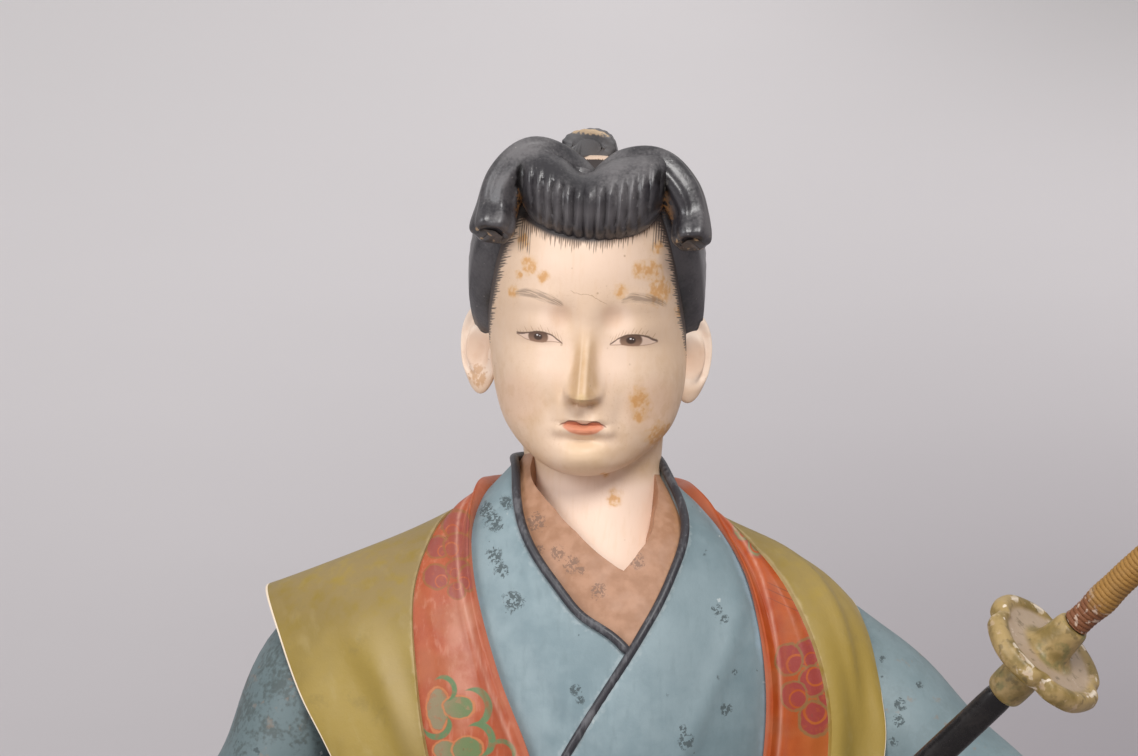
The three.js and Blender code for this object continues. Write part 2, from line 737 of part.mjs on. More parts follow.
// The waistband, its bow, and the stiff board behind.
function waistBand() {
  const band = [
    [58, 0, 0, 0, 0, 0],
    [58.2, 28.6, 24.2, 26.2, 0, 0],
    [59.5, 29.2, 24.8, 26.6, 0, 0],
    [66, 29, 24.8, 25.6, 0, 0],
    [67.4, 28.2, 24, 24.8, 0, 0],
    [67.6, 0, 0, 0, 0, 0],
  ];
  const knot = ball(0, -26, 62.6, 3.4, 2.6, 3.6);
  const loops = [-1, 1].map((turn) =>
    limb(
      [
        [0, -26, 63, 0, 0],
        [turn * 3, -26.6, 63, 2, 1.4],
        [turn * 8, -26.6, 62, 3.4, 1.7],
        [turn * 11.5, -25.6, 60.4, 2.8, 1.4],
        [turn * 12.2, -25.4, 60, 0, 0],
      ],
      vector(0, 0, 1),
      8,
      8,
    ),
  );
  const board = sheet(
    [
      [-17, 22.4, 60],
      [-12, 22.6, 77],
    ],
    [
      [17, 22.4, 60],
      [12, 22.6, 77],
    ],
    4,
    3,
    () => 4.8,
  );
  return [stack(band, 32, 5), knot, ...loops, board];
}

// The sword's line. It rises from just over the lap through the left fist, with the hilt at the wearer's
// left.
const SWORD_FOOT = vector(-12.8, -30.2, 43.2);
const HILT_WAY = vector(0.629, -0.4, 0.667).normalize();
const FIST_UP = 64.5; // from the scabbard's end to the middle of the fist

const fistAt = SWORD_FOOT.clone().addScaledVector(HILT_WAY, FIST_UP);

// The left hand, closed round the scabbard: a palm on the wrist's side, four fingers in arcs and a thumb.
function leftHand() {
  const wrist = vector(40, -42.6, 85);
  const away = wrist.clone().sub(fistAt);
  away.addScaledVector(HILT_WAY, -away.dot(HILT_WAY)).normalize();
  const front = HILT_WAY.clone().cross(away).normalize();
  if (front.y > 0) front.negate();
  const ring = (angle, radius, up) =>
    fistAt
      .clone()
      .addScaledVector(away, radius * Math.cos(angle))
      .addScaledVector(front, radius * Math.sin(angle))
      .addScaledVector(HILT_WAY, up);
  const arc = (from, to, radius, up, thick) => {
    const rows = [0, 0.02, 0.25, 0.5, 0.75, 0.96, 1].map((s) => {
      const p = ring(degrees(from + (to - from) * s), radius, up);
      const half = s === 0 || s === 1 ? 0 : thick;
      return [p.x, p.y, p.z, half, half];
    });
    return limb(rows, HILT_WAY, 7, 9);
  };
  const fingers = [0, 1, 2, 3].map((k) => arc(10, 215, 4.5, 4.8 - 3.1 * k, 1.8));
  const thumb = arc(-20, -150, 4.4, 4.6, 1.9);
  const from = ring(0, 3.4, 0);
  const palm = limb(
    [
      [...from.toArray(), 0, 0],
      [...ring(0, 3.6, 0).toArray(), 6.6, 3.6],
      [...ring(0, 8.4, 0).toArray(), 6.4, 4.4],
      [...ring(0, 13, -0.5).toArray(), 4.4, 3.6],
      [...wrist.toArray(), 4, 3.6],
      [...wrist.clone().addScaledVector(away, 1).toArray(), 0, 0],
    ],
    HILT_WAY,
    12,
    9,
  );
  return [palm, ...fingers, thumb];
}

// The right hand, flat on the thigh.
function rightHand() {
  const way = vector(0.62, -0.66, -0.42).normalize();
  const across = vector(0.73, 0.68, 0).normalize();
  const palm = limb(
    [
      [-44, -30, 53, 0, 0],
      [-42, -33, 51, 5, 3.8],
      [-37.5, -38, 47.6, 5.4, 3.4],
      [-33.5, -42.4, 44.8, 6.2, 3],
      [-30.6, -45.6, 42.8, 6, 2.3],
      [-30.2, -46, 42.6, 0, 0],
    ],
    across,
    12,
    9,
  );
  const finger = (sideways, length) => {
    const root = vector(-31.4, -44.8, 43.2).addScaledVector(across, sideways);
    const rows = [0, 0.03, 0.35, 0.7, 0.93, 1].map((s) => {
      const p = root.clone().addScaledVector(way, length * s);
      p.z += 1.1 * Math.sin(s * Math.PI);
      const half = s === 0 || s === 1 ? 0 : 1.8 - 0.4 * s;
      return [p.x, p.y, p.z, half, half];
    });
    return limb(rows, across, 7, 8);
  };
  const fingers = [8.2, 9.8, 10.2, 9].map((length, k) => finger(-4.5 + 3 * k, length));
  const thumb = limb(
    [
      [-37, -38, 48, 0, 0],
      [-36, -37.6, 48, 2.2, 2.2],
      [-31, -36.4, 46.6, 2.1, 2],
      [-26.6, -38.4, 44.2, 1.9, 1.8],
      [-24.4, -41, 42.4, 1.4, 1.4],
      [-24, -41.6, 42, 0, 0],
    ],
    vector(0, 0, 1),
    7,
    8,
  );
  return [palm, ...fingers, thumb];
}

// A straight cutter for the scabbard's way through the fist, in the figure's drawn units.
function gripCutter() {
  const way = new THREE.Quaternion().setFromUnitVectors(vector(0, 0, 1), HILT_WAY);
  const length = 40;
  return new THREE.CylinderGeometry(1, 1, length, 20)
    .rotateX(TAU / 4)
    .scale(
      (SCABBARD_WIDTH / 2 + GRIP_CLEARANCE) / SHARE,
      (SCABBARD_THICKNESS / 2 + GRIP_CLEARANCE) / SHARE,
      1,
    )
    .applyQuaternion(way)
    .translate(...fistAt.toArray());
}

// The squared distance from the planes of the faces round a point, as a function of place: ten sums over
// those planes.
function planeSums(faces, points, weight) {
  const sums = points.map(() => new Float64Array(10));
  for (const [a, b, c] of faces) {
    const normal = points[b].clone().sub(points[a]).cross(points[c].clone().sub(points[a]));
    const area = normal.length();
    if (area < 1e-9) continue;
    const { x, y, z } = normal.divideScalar(area);
    const d = -normal.dot(points[a]);
    const terms = [x * x, x * y, x * z, x * d, y * y, y * z, y * d, z * z, z * d, d * d];
    for (const i of [a, b, c]) terms.forEach((term, k) => (sums[i][k] += term * area * weight(points[i])));
  }
  return sums;
}

function moveCost(s, p) {
  const { x, y, z } = p;
  const squares = s[0] * x * x + s[4] * y * y + s[7] * z * z + s[9];
  return squares + 2 * (s[1] * x * y + s[2] * x * z + s[3] * x + s[5] * y * z + s[6] * y + s[8] * z);
}

// The same closed skin with fewer faces: neighbouring points are drawn together, flattest places first.
function lightened(geometry, target, weight) {
  const { array } = geometry.attributes.position;
  const corner = (_, i) => vector(...array.subarray(3 * i, 3 * i + 3));
  const points = Array.from({ length: array.length / 3 }, corner);
  const faces = [];
  const order = geometry.index.array;
  for (let i = 0; i < order.length; i += 3) faces.push([...order.subarray(i, i + 3)]);
  const sums = planeSums(faces, points, weight);
  const facesAt = points.map(() => new Set());
  faces.forEach((face, f) => face.forEach((i) => facesAt[i].add(f)));
  const neighbours = (i) => new Set([...facesAt[i]].flatMap((f) => faces[f]).filter((j) => j !== i));
  const normalOf = (a, b, c) => b.clone().sub(a).cross(c.clone().sub(a));

  // Whether the faces at point i, but for those that also hold j, keep their way round when i moves to a
  // place.
  const staysOpen = (i, j, place) =>
    [...facesAt[i]].every((f) => {
      if (faces[f].includes(j)) return true;
      const before = normalOf(...faces[f].map((k) => points[k]));
      const after = normalOf(...faces[f].map((k) => (k === i ? place : points[k])));
      const longest = Math.max(...faces[f].map((k) => (k === i ? 0 : points[k].distanceTo(place))));
      const alike = before.dot(after) > 0.25 * before.length() * after.length();
      return alike && after.length() > 0.02 * longest * longest;
    });

  let left = faces.length;
  for (let round = 0; left > target && round < 80; round++) {
    const edges = [];
    faces.forEach((face) =>
      face?.forEach((a, k) => {
        const b = face[(k + 1) % 3];
        if (a > b) return;
        const both = sums[a].map((term, m) => term + sums[b][m]);
        const length = points[a].distanceToSquared(points[b]);
        const middle = points[a].clone().lerp(points[b], 0.5);
        const costs = [points[a], points[b], middle].map((place) => [moveCost(both, place), place]);
        const [cost, place] = costs.reduce((best, next) => (next[0] < best[0] ? next : best));
        const closeness = length < 1e-3 ? -1 : 2e-4 * length * length;
        edges.push([cost + closeness, a, b, place, both]);
      }),
    );
    edges.sort((p, q) => p[0] - q[0]);
    const settled = new Set();
    for (const [, a, b, place, both] of edges.slice(0, edges.length / 5)) {
      if (left <= target) break;
      if (settled.has(a) || settled.has(b)) continue;
      const ring = neighbours(b);
      const shared = [...neighbours(a)].filter((i) => ring.has(i));
      if (shared.length !== 2 || !staysOpen(a, b, place) || !staysOpen(b, a, place)) continue;
      points[a] = place.clone();
      sums[a] = both;
      for (const f of facesAt[b]) {
        if (faces[f].includes(a)) {
          faces[f].forEach((i) => i !== b && facesAt[i].delete(f));
          faces[f] = null;
        } else {
          faces[f] = faces[f].map((i) => (i === b ? a : i));
          facesAt[a].add(f);
        }
      }
      facesAt[b].clear();
      neighbours(a).forEach((i) => settled.add(i));
      settled.add(a);
      left -= 2;
    }
  }
  const skin = new THREE.BufferGeometry().setFromPoints(points);
  skin.setIndex(faces.filter(Boolean).flat());
  return skin;
}

function figureGeometry() {
  const inner = robe(ROBE, innerNeckline, () => -0.9, 30, 10);
  const outer = robe(ROBE, outerNeckline, overlapStep, 34, 14);
  const body = join([
    ...headForms(),
    stack(NECK, 18, 10),
    inner,
    outer,
    ...bothPipings(),
    ...vestPanels(),
    ...lapels(),
    ...arms(),
    ...sleeveBags(),
    seat(),
    thigh(-1),
    thigh(1),
    ...waistBand(),
    ...leftHand(),
    ...rightHand(),
  ]);
  const below = new THREE.BoxGeometry(400, 400, 40).translate(0, 0, -20);
  const cut = body.subtract(solid(below)).subtract(solid(gripCutter()));
  return lightened(geometryOf(cut), FIGURE_FACES, (p) => (p.z > 150 ? 8 : 1)).scale(SHARE, SHARE, SHARE);
}

function baseGeometry() {
  const [x, y] = [BASE_WIDTH / 2 - BASE_BEVEL, BASE_DEPTH / 2 - BASE_BEVEL];
  const r = BASE_CORNER - BASE_BEVEL;
  const outline = new THREE.Shape();
  outline.absarc(x - r, y - r, r, 0, TAU / 4);
  outline.absarc(r - x, y - r, r, TAU / 4, TAU / 2);
  outline.absarc(r - x, r - y, r, TAU / 2, (3 * TAU) / 4);
  outline.absarc(x - r, r - y, r, (3 * TAU) / 4, TAU);
  return new THREE.ExtrudeGeometry(outline, {
    depth: BASE_HEIGHT - 2 * BASE_BEVEL,
    bevelThickness: BASE_BEVEL,
    bevelSize: BASE_BEVEL,
    bevelSegments: 2,
    curveSegments: 5,
  }).translate(0, 0, BASE_BEVEL);
}

// The sword's pieces lie on their own +Z axis, with the guard's plate at the origin and the hilt upwards.
const BELOW_END = GUARD_THICKNESS / 2 + HUB_BELOW;
const ABOVE_END = GUARD_THICKNESS / 2 + HUB_ABOVE;

function lathe(profile, sides) {
  return new THREE.LatheGeometry(profile.map(([r, z]) => new THREE.Vector2(r, z)), sides).rotateX(TAU / 4);
}

function scabbardGeometry() {
  const end = -BELOW_END - SCABBARD_LENGTH;
  const profile = [
    [0, end],
    [0.7, end],
    [0.94, end + 0.6],
    [1, end + 1.8],
    [1, -BELOW_END - REST_GAP],
    [0, -BELOW_END - REST_GAP],
  ];
  return lathe(profile, 20).scale(SCABBARD_WIDTH / 2, SCABBARD_THICKNESS / 2, 1);
}

// A four-lobed plate with a rounded rim, and a hub on each face.
function guardGeometry() {
  const half = GUARD_THICKNESS / 2;
  const lobes = (a) => 1 - 0.1 * bump(Math.sin(2 * a) / 0.28);
  const profile = [
    [0, -half],
    [0.74, -half],
    [0.83, -half - GUARD_RIM],
    [0.93, -half - GUARD_RIM],
    [1, -half * 0.6],
    [1, half * 0.6],
    [0.93, half + GUARD_RIM],
    [0.83, half + GUARD_RIM],
    [0.74, half],
    [0, half],
  ].map(([r, z]) => [r * GUARD_RADIUS, z]);
  const plate = lathe(profile, 32);
  const { position } = plate.attributes;
  for (let i = 0; i < position.count; i++) {
    const grow = lobes(Math.atan2(position.getY(i), position.getX(i)));
    position.setXYZ(i, position.getX(i) * grow, position.getY(i) * grow, position.getZ(i));
  }
  const hub = lathe(
    [
      [0, -BELOW_END],
      [HUB_RADIUS * 0.8, -BELOW_END],
      [HUB_RADIUS, -BELOW_END + 1],
      [HUB_RADIUS, -half - HUB_BELOW * 0.5],
      [HUB_RADIUS * 0.9, -half - 1.2],
      [HUB_RADIUS * 1.3, -half],
      [HUB_RADIUS * 1.3, half],
      [HUB_RADIUS, half + 1.6],
      [HUB_RADIUS * 0.84, ABOVE_END],
      [0, ABOVE_END],
    ],
    16,
  );
  return geometryOf(solid(plate).add(solid(hub)));
}

function hiltGeometry() {
  const start = ABOVE_END + REST_GAP;
  const end = start + HILT_LENGTH;
  return lathe(
    [
      [0, start],
      [HILT_RADIUS * 0.94, start],
      [HILT_RADIUS * 0.98, start + HILT_LENGTH * 0.2],
      [HILT_RADIUS * 0.94, start + HILT_LENGTH * 0.5],
      [HILT_RADIUS, start + HILT_LENGTH * 0.8],
      [HILT_RADIUS * 1.08, end - 2],
      [HILT_RADIUS * 0.8, end - 0.4],
      [0, end],
    ],
    16,
  );
}

function piece(name, geometry, color, roughness, metalness = 0) {
  const mesh = new THREE.Mesh(geometry, new THREE.MeshStandardMaterial({ color, roughness, metalness }));
  mesh.name = name;
  return mesh;
}

const figure = piece("figure", figureGeometry(), 0x7f9fa6, 0.6);
figure.position.copy(FIGURE_FOOT);

const sword = new THREE.Group();
sword.position
  .copy(SWORD_FOOT)
  .multiplyScalar(SHARE)
  .add(FIGURE_FOOT)
  .addScaledVector(HILT_WAY, SCABBARD_LENGTH + BELOW_END);
sword.quaternion.setFromUnitVectors(vector(0, 0, 1), HILT_WAY);
sword.add(
  piece("scabbard", scabbardGeometry(), 0x1d1a1c, 0.35),
  piece("guard", guardGeometry(), 0x9c8a55, 0.4, 0.5),
  piece("hilt", hiltGeometry(), 0xb8823a, 0.7),
);

const doll = new THREE.Group();
doll.add(piece("base", baseGeometry(), 0x1a1412, 0.2), figure, sword);

export default doll;
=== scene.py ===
"""The looks of a painted clay doll: a kneeling youth in a stiff sleeveless vest who holds a sheathed sword.

The scene is in metres; the figure's forms are worked out in millimetres above the base's top."""
import math

import bmesh
import bpy
import numpy as np
from mathutils import Euler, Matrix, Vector
from mathutils.kdtree import KDTree


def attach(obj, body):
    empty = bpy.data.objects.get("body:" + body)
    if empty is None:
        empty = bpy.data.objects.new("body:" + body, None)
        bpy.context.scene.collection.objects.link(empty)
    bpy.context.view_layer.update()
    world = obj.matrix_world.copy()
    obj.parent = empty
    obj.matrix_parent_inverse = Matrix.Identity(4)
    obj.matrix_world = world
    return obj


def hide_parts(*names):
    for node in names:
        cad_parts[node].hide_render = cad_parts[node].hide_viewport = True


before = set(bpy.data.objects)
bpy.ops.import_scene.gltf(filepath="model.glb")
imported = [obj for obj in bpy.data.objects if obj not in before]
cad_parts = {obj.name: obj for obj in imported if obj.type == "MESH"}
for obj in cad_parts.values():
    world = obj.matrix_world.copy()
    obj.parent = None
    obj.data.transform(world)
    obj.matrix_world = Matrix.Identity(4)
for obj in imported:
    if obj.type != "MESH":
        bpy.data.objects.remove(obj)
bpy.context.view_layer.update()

MM = 0.001
MM_PER_METRE = 1000
SMOOTH_BELOW = 40
SWORD_SMOOTH_BELOW = 50
PI = math.pi
TAU = 2 * math.pi

# Sizes in millimetres, the same as the solids'.
FIGURE_BACK = 7
BASE_WIDTH = 170
BASE_DEPTH = 142
BASE_HEIGHT = 18
BASE_CORNER = 16
BASE_BEVEL = 2.4
REST_GAP = 0.3
SCABBARD_LENGTH = 115
SCABBARD_WIDTH = 4.4
SCABBARD_THICKNESS = 3.4
GRIP_CLEARANCE = 0.3
GUARD_RADIUS = 10.4
GUARD_THICKNESS = 1.9
GUARD_RIM = 0.6
HUB_RADIUS = 3
BELOW_END = GUARD_THICKNESS / 2 + 8.2
ABOVE_END = GUARD_THICKNESS / 2 + 5.8
HILT_LENGTH = 40
HILT_RADIUS = 2.2
THREAD_PITCH = 0.72
FIGURE_FOOT = np.array([0, FIGURE_BACK, BASE_HEIGHT + REST_GAP], float)

# The paint on the clay, in the order of the figure's material slots.
SKIN, EAR, HAIR, INNER, BLUE, PIPING_PAINT, BAND, OLIVE, EDGE, TROUSERS, SASH, CLAY = range(12)


def rad(angle):
    return np.asarray(angle, float) * PI / 180


def vec(x, y, z):
    return np.array([x, y, z], float)


def bump(distance):
    return np.exp(-np.square(distance))


def oval(x, z, cx, cz, rx, rz):
    return np.exp(-np.square((x - cx) / rx) - np.square((z - cz) / rz))


def step(value, low, high):
    s = np.clip((np.asarray(value, float) - low) / (high - low), 0, 1)
    return s * s * (3 - 2 * s)


def along(rows, t):
    """The row a share t of the way through rows, on a smooth curve through all of them."""
    rows = np.asarray(rows, float)
    t = np.asarray(t, float)
    spans = len(rows) - 1
    place = np.minimum(np.clip(t, 0, 1) * spans, spans - 1e-9)
    first = np.floor(place).astype(int)
    f = (place - first)[..., None]
    a, b, c, d = (rows[np.clip(first + k, 0, spans)] for k in (-1, 0, 1, 2))
    return b + 0.5 * f * (c - a + f * (2 * a - 5 * b + 4 * c - d + f * (3 * (b - c) + d - a)))


def share_at(rows, value):
    """The share at which the first number of rows, which rises all the way, reaches a value."""
    value = np.asarray(value, float)
    low = np.zeros_like(value)
    high = np.ones_like(value)
    for _ in range(26):
        middle = (low + high) / 2
        under = along(rows, middle)[..., 0] < value
        low = np.where(under, middle, low)
        high = np.where(under, high, middle)
    return (low + high) / 2


def table_of(rows):
    places, values = zip(*rows)
    return lambda angle: np.interp(np.asarray(angle) * 180 / PI, places, values)


# Closed forms: each is its points, its faces and the paint of each face.


def ring_face(ring, i, columns):
    """The face between the points i and i + 1 of a ring and of the next one."""
    n = (i + 1) % columns
    low, high = ring * columns, (ring + 1) * columns
    return low + i, low + n, high + n, high + i


def globe(columns, rows, place, paint=SKIN, crowd=0.0):
    turn = np.linspace(-PI / 2, 1.5 * PI, columns, endpoint=False)
    a = np.where(turn > PI + 1e-6, turn - TAU, turn)
    a = a - crowd * np.sin(a)
    t = np.arange(1, rows) / rows
    grid_a, grid_t = np.meshgrid(a, t)
    ring = place(grid_a, grid_t).reshape(-1, 3)
    ends = place(np.zeros(2), np.array([0.0, 1.0]))
    points = np.vstack([ring, ends])
    low, high = len(ring), len(ring) + 1
    faces = [ring_face(j, i, columns) for j in range(rows - 2) for i in range(columns)]
    last = (rows - 2) * columns
    for i in range(columns):
        n = (i + 1) % columns
        faces.append((low, n, i))
        faces.append((last + i, last + n, high))
    return points, faces, np.full(len(faces), paint)


def section_point(sections, a, t, relief=0.0):
    z, width, front, back, cx, cy = np.moveaxis(along(sections, t), -1, 0)
    depth = np.maximum(np.where(np.cos(a) > 0, front, back), 0)
    reach = np.maximum(width, 0)
    out = np.hypot(reach * np.sin(a), depth * np.cos(a))
    grow = 1 + relief / np.maximum(out, 2)
    return np.stack([cx + reach * np.sin(a) * grow, cy - depth * np.cos(a) * grow, z + 0 * a], -1)


def stack(sections, columns, rows, relief=None, paint=SKIN, crowd=0.0):
    def place(a, t):
        z = along(sections, t)[..., 0]
        return section_point(sections, a, t, relief(a, z, t) if relief else 0.0)

    return globe(columns, rows, place, paint, crowd)


def unit(v):
    return v / np.linalg.norm(v, axis=-1, keepdims=True)


def limb(sections, side, columns, rows, relief=None, paint=SKIN):
    side = np.asarray(side, float)

    def place(a, t):
        row = along(sections, t)
        centre = row[..., :3]
        width, thickness = row[..., 3], row[..., 4]
        ahead = along(sections, np.minimum(t + 0.02, 1))[..., :3]
        behind = along(sections, np.maximum(t - 0.02, 0))[..., :3]
        tangent = unit(ahead - behind)
        across = unit(side - tangent * (tangent @ side)[..., None])
        through = np.cross(tangent, across)
        grow = 1 + (relief(a, t) if relief else 0.0)
        return (
            centre
            + across * (np.maximum(width, 0) * np.sin(a) * grow)[..., None]
            - through * (np.maximum(thickness, 0) * np.cos(a) * grow)[..., None]
        )

    return globe(columns, rows, place, paint)


def sheet(left, right, rows, thickness, lift=None, paint=OLIVE, shares=None):
    """A slab between two edges; shares are the places across it of its columns of points."""
    us = np.linspace(0, 1, 27) if shares is None else shares
    columns = len(us) - 1
    u, v = np.meshgrid(us, np.linspace(0, 1, rows + 1))

    def surface(u, v):
        return along(left, v) * (1 - u)[..., None] + along(right, v) * u[..., None]

    h = 0.01
    across = surface(u + h, v) - surface(u - h, v)
    up = surface(u, np.minimum(v + h, 1)) - surface(u, np.maximum(v - h, 0))
    normal = unit(np.cross(across, up))
    raised = lift(u, v) if lift else 0 * u
    front = surface(u, v) + normal * raised[..., None]
    back = surface(u, v) + normal * (raised - thickness(u, v))[..., None]
    points = np.vstack([front.reshape(-1, 3), back.reshape(-1, 3)])
    wide = columns + 1

    def near(j, i):
        return j * wide + i

    def far(j, i):
        return (rows + 1 + j) * wide + i

    faces = []
    for j in range(rows):
        for i in range(columns):
            faces.append((near(j, i), near(j, i + 1), near(j + 1, i + 1), near(j + 1, i)))
            faces.append((far(j + 1, i), far(j + 1, i + 1), far(j, i + 1), far(j, i)))
    for i in range(columns):
        faces.append((near(0, i), far(0, i), far(0, i + 1), near(0, i + 1)))
        faces.append((near(rows, i + 1), far(rows, i + 1), far(rows, i), near(rows, i)))
    for j in range(rows):
        faces.append((near(j + 1, 0), far(j + 1, 0), far(j, 0), near(j, 0)))
        faces.append((near(j, columns), far(j, columns), far(j + 1, columns), near(j + 1, columns)))
    return points, faces, np.full(len(faces), paint)


def ball(centre, radii, columns, rows, paint):
    def place(a, t):
        flat = np.sin(t * PI)
        return np.stack(
            [
                centre[0] + radii[0] * np.sin(a) * flat,
                centre[1] - radii[1] * np.cos(a) * flat,
                centre[2] - radii[2] * np.cos(t * PI) + 0 * a,
            ],
            -1,
        )

    return globe(columns, rows, place, paint)


def turned(form, matrix, offset):
    points, faces, paints = form
    return points @ np.asarray(matrix).T + np.asarray(offset, float), faces, paints


# The head is drawn level about a point between the ears and then tilted.
HEAD_AT = vec(0.3, 0, 171.2)
HEAD_TILT = Euler((math.radians(4), math.radians(2.5), math.radians(-4)), "XYZ")

SKULL = [
    # z, half width, front, back, centre x, centre y
    [-22.4, 0, 0, 0, 0, -10.5], [-22.0, 3.6, 4.4, 4, 0, -10.5], [-20.6, 7.1, 7.4, 6.5, 0.2, -9.4],
    [-18.2, 10.4, 10.6, 9.5, 0.2, -6.6], [-14.8, 13.3, 13.4, 12.5, 0.2, -3.8],
    [-10.6, 14.9, 16.2, 15.5, 0, -1], [-6, 15.6, 18.0, 17.5, -0.3, 0.8],
    [-1.2, 15.9, 18.8, 18, -0.8, 2], [5, 16.1, 20.2, 18, -1.2, 2.6], [11.4, 16.1, 20.4, 18, -1.3, 2.8],
    [17.6, 15, 18.4, 17, -1.2, 2.8], [22.2, 12.7, 14.6, 14.6, -0.8, 2.6], [25.6, 9, 9.6, 10.2, 0, 2.4],
    [27.6, 4.6, 5, 5.4, 0, 2.2], [28, 0, 0, 0, 0, 2],
]

HAIRLINE = [
    # z, angle from the front in degrees
    [-15, 176], [-10, 146], [-6, 116], [-3, 95], [1, 82], [6, 70], [12, 61], [18, 54], [26, 44],
]

NECK = [
    [108, 0, 0, 0, 0, 0], [109, 22, 17, 14, 0, 0], [124, 20, 16.6, 13, 0, 0],
    [133, 15.5, 13.9, 12, 0, 0.6], [140, 12.2, 11.2, 11.4, 0.3, 1.2], [148, 10.9, 9.6, 11, 0.5, 1.8],
    [158, 10.6, 9.4, 11, 0.2, 2], [162, 0, 0, 0, 0, 2],
]

ROBE = [
    [28, 30, 24, 28, 0, 0], [46, 28, 23, 24, 0, 0], [62, 27, 22.4, 21.5, 0, 0],
    [80, 29.5, 23.4, 21, 0, 0], [96, 34, 24, 21.5, 0, 0], [110, 38, 23.4, 21.5, 0, 0],
    [121, 38.6, 21.2, 20.6, 0, 0], [129, 35, 18.4, 19.4, 0, 0.4], [136, 28.4, 15.8, 17.8, 0, 0.9],
    [142, 19.4, 13.8, 16, -0.6, 1.4], [147, 13.8, 12.4, 14.8, -0.9, 1.9],
    [151, 10.8, 11.5, 13.6, -0.6, 2], [155, 10.2, 11, 13, -0.5, 2.2],
]

OUTER_NECKLINE = [
    [-180, 150], [-160, 150], [-140, 150.1], [-120, 150.2], [-100, 150.2], [-80, 150.2], [-62, 149],
    [-42.3, 145.1], [-27.8, 140.3], [-16.7, 135.4], [-9, 131.2], [-3.5, 127.1], [0.8, 125.2],
    [5.7, 123.2], [8.9, 120.6], [11.4, 123.6], [16.9, 128.3], [23, 133.1], [28.9, 136.2], [39.1, 139.5],
    [51.4, 142.6], [62, 145.5], [74, 148.3], [90, 150], [110, 150.2], [130, 150.1], [155, 150],
    [180, 150],
]

INNER_NECKLINE = [
    [-180, 151.8], [-80, 151.8], [-61, 151.4], [-53, 149.1], [-37, 146.5], [-28, 145.1], [-17, 142.9],
    [-5.1, 139.3], [2.7, 135.9], [9.8, 133.2], [17.1, 136.4], [25.1, 138.8], [36.6, 142.1], [49, 144.5],
    [65, 147.4], [79, 150.5], [92, 151.6], [180, 151.8],
]

OVERLAP = [
    [8.9, 120.6], [1.1, 112.5], [-6.6, 104.5], [-16, 94], [-27, 81], [-36, 68], [-40, 60],
]

VEST_BACK = [
    [0, 23.4, 104], [0, 22.4, 60],
]

RIGHT_WING = [
    # the wearer's right, at the photograph's left: the free edge of the stiff shoulder
    [-20, -21, 60], [-31, -21, 82], [-40.3, -16.6, 103], [-46, -12.8, 113.8], [-49.9, -8, 123.6],
    [-52, -2, 129.2], [-51.4, 6, 129.6], [-50, 10.8, 126.6], [-47.4, 14.4, 120.4], [-43.6, 16.4, 110],
    [-37, 17.4, 92], [-20, 13.5, 60],
]

RIGHT_SEAM = [
    [-12.5, -22.8, 60], [-19, -24.4, 82], [-25, -23.4, 103], [-27.3, -21.2, 117], [-27.9, -16.4, 130],
    [-24.8, -8.6, 139.4], [-20.8, 1, 142.8], [-13.4, 12, 144], [-6, 18.4, 142], [0.9, 20.6, 138],
]

LEFT_SEAM = [
    [22, -20.6, 60], [33, -20.6, 82], [37.3, -18.6, 103], [36.5, -17, 117], [31.4, -13.4, 130.2],
    [23.9, -6, 139], [17.4, 3, 142.8], [14.8, 12.6, 142.2], [6, 18.4, 142], [-0.9, 20.6, 138],
]

RIGHT_LAPEL = [
    [-2, 60], [-7, 82], [-13.8, 103], [-21, 117.5], [-31, 130.5], [-50, 139.6], [-84, 145.4],
    [-112, 146.9], [-145, 147.2], [-183, 147.2],
]

LEFT_LAPEL = [
    [36, 60], [52, 82], [46.8, 103], [43.4, 117], [46.2, 131], [60.8, 140], [83, 144.9], [112, 146],
    [145, 146.8], [183, 147.2],
]

LEFT_WING = [
    [28, -17, 60], [41, -16.6, 82], [45.9, -13.8, 103], [45.8, -11.4, 113], [44.7, -6, 121.6],
    [42.2, 1, 127.4], [41, 9, 126], [40.9, 13.6, 121.4], [40.3, 16.6, 113.4], [38.4, 18, 104],
    [34.2, 18, 88], [20, 13.5, 60],
]

SEAT = [
    [-3, 0, 0, 0, 0, 0], [-2.9, 50, 60, 46, 0, 0], [3, 54, 63, 50, 0, 0], [13, 54.5, 61, 50, 0, 0],
    [22, 52, 55, 48, 0, 0], [29, 46, 47, 45, 0, 0], [34, 40, 38, 41, 0, 0], [41, 33, 30, 36, 0, 0],
    [52, 28.4, 25.4, 28, 0, 0], [64, 27.4, 23, 23, 0, 0], [66, 0, 0, 0, 0, 0],
]


FACE_MIDDLE = 0.35
NOSE_MIDDLE = 0.2


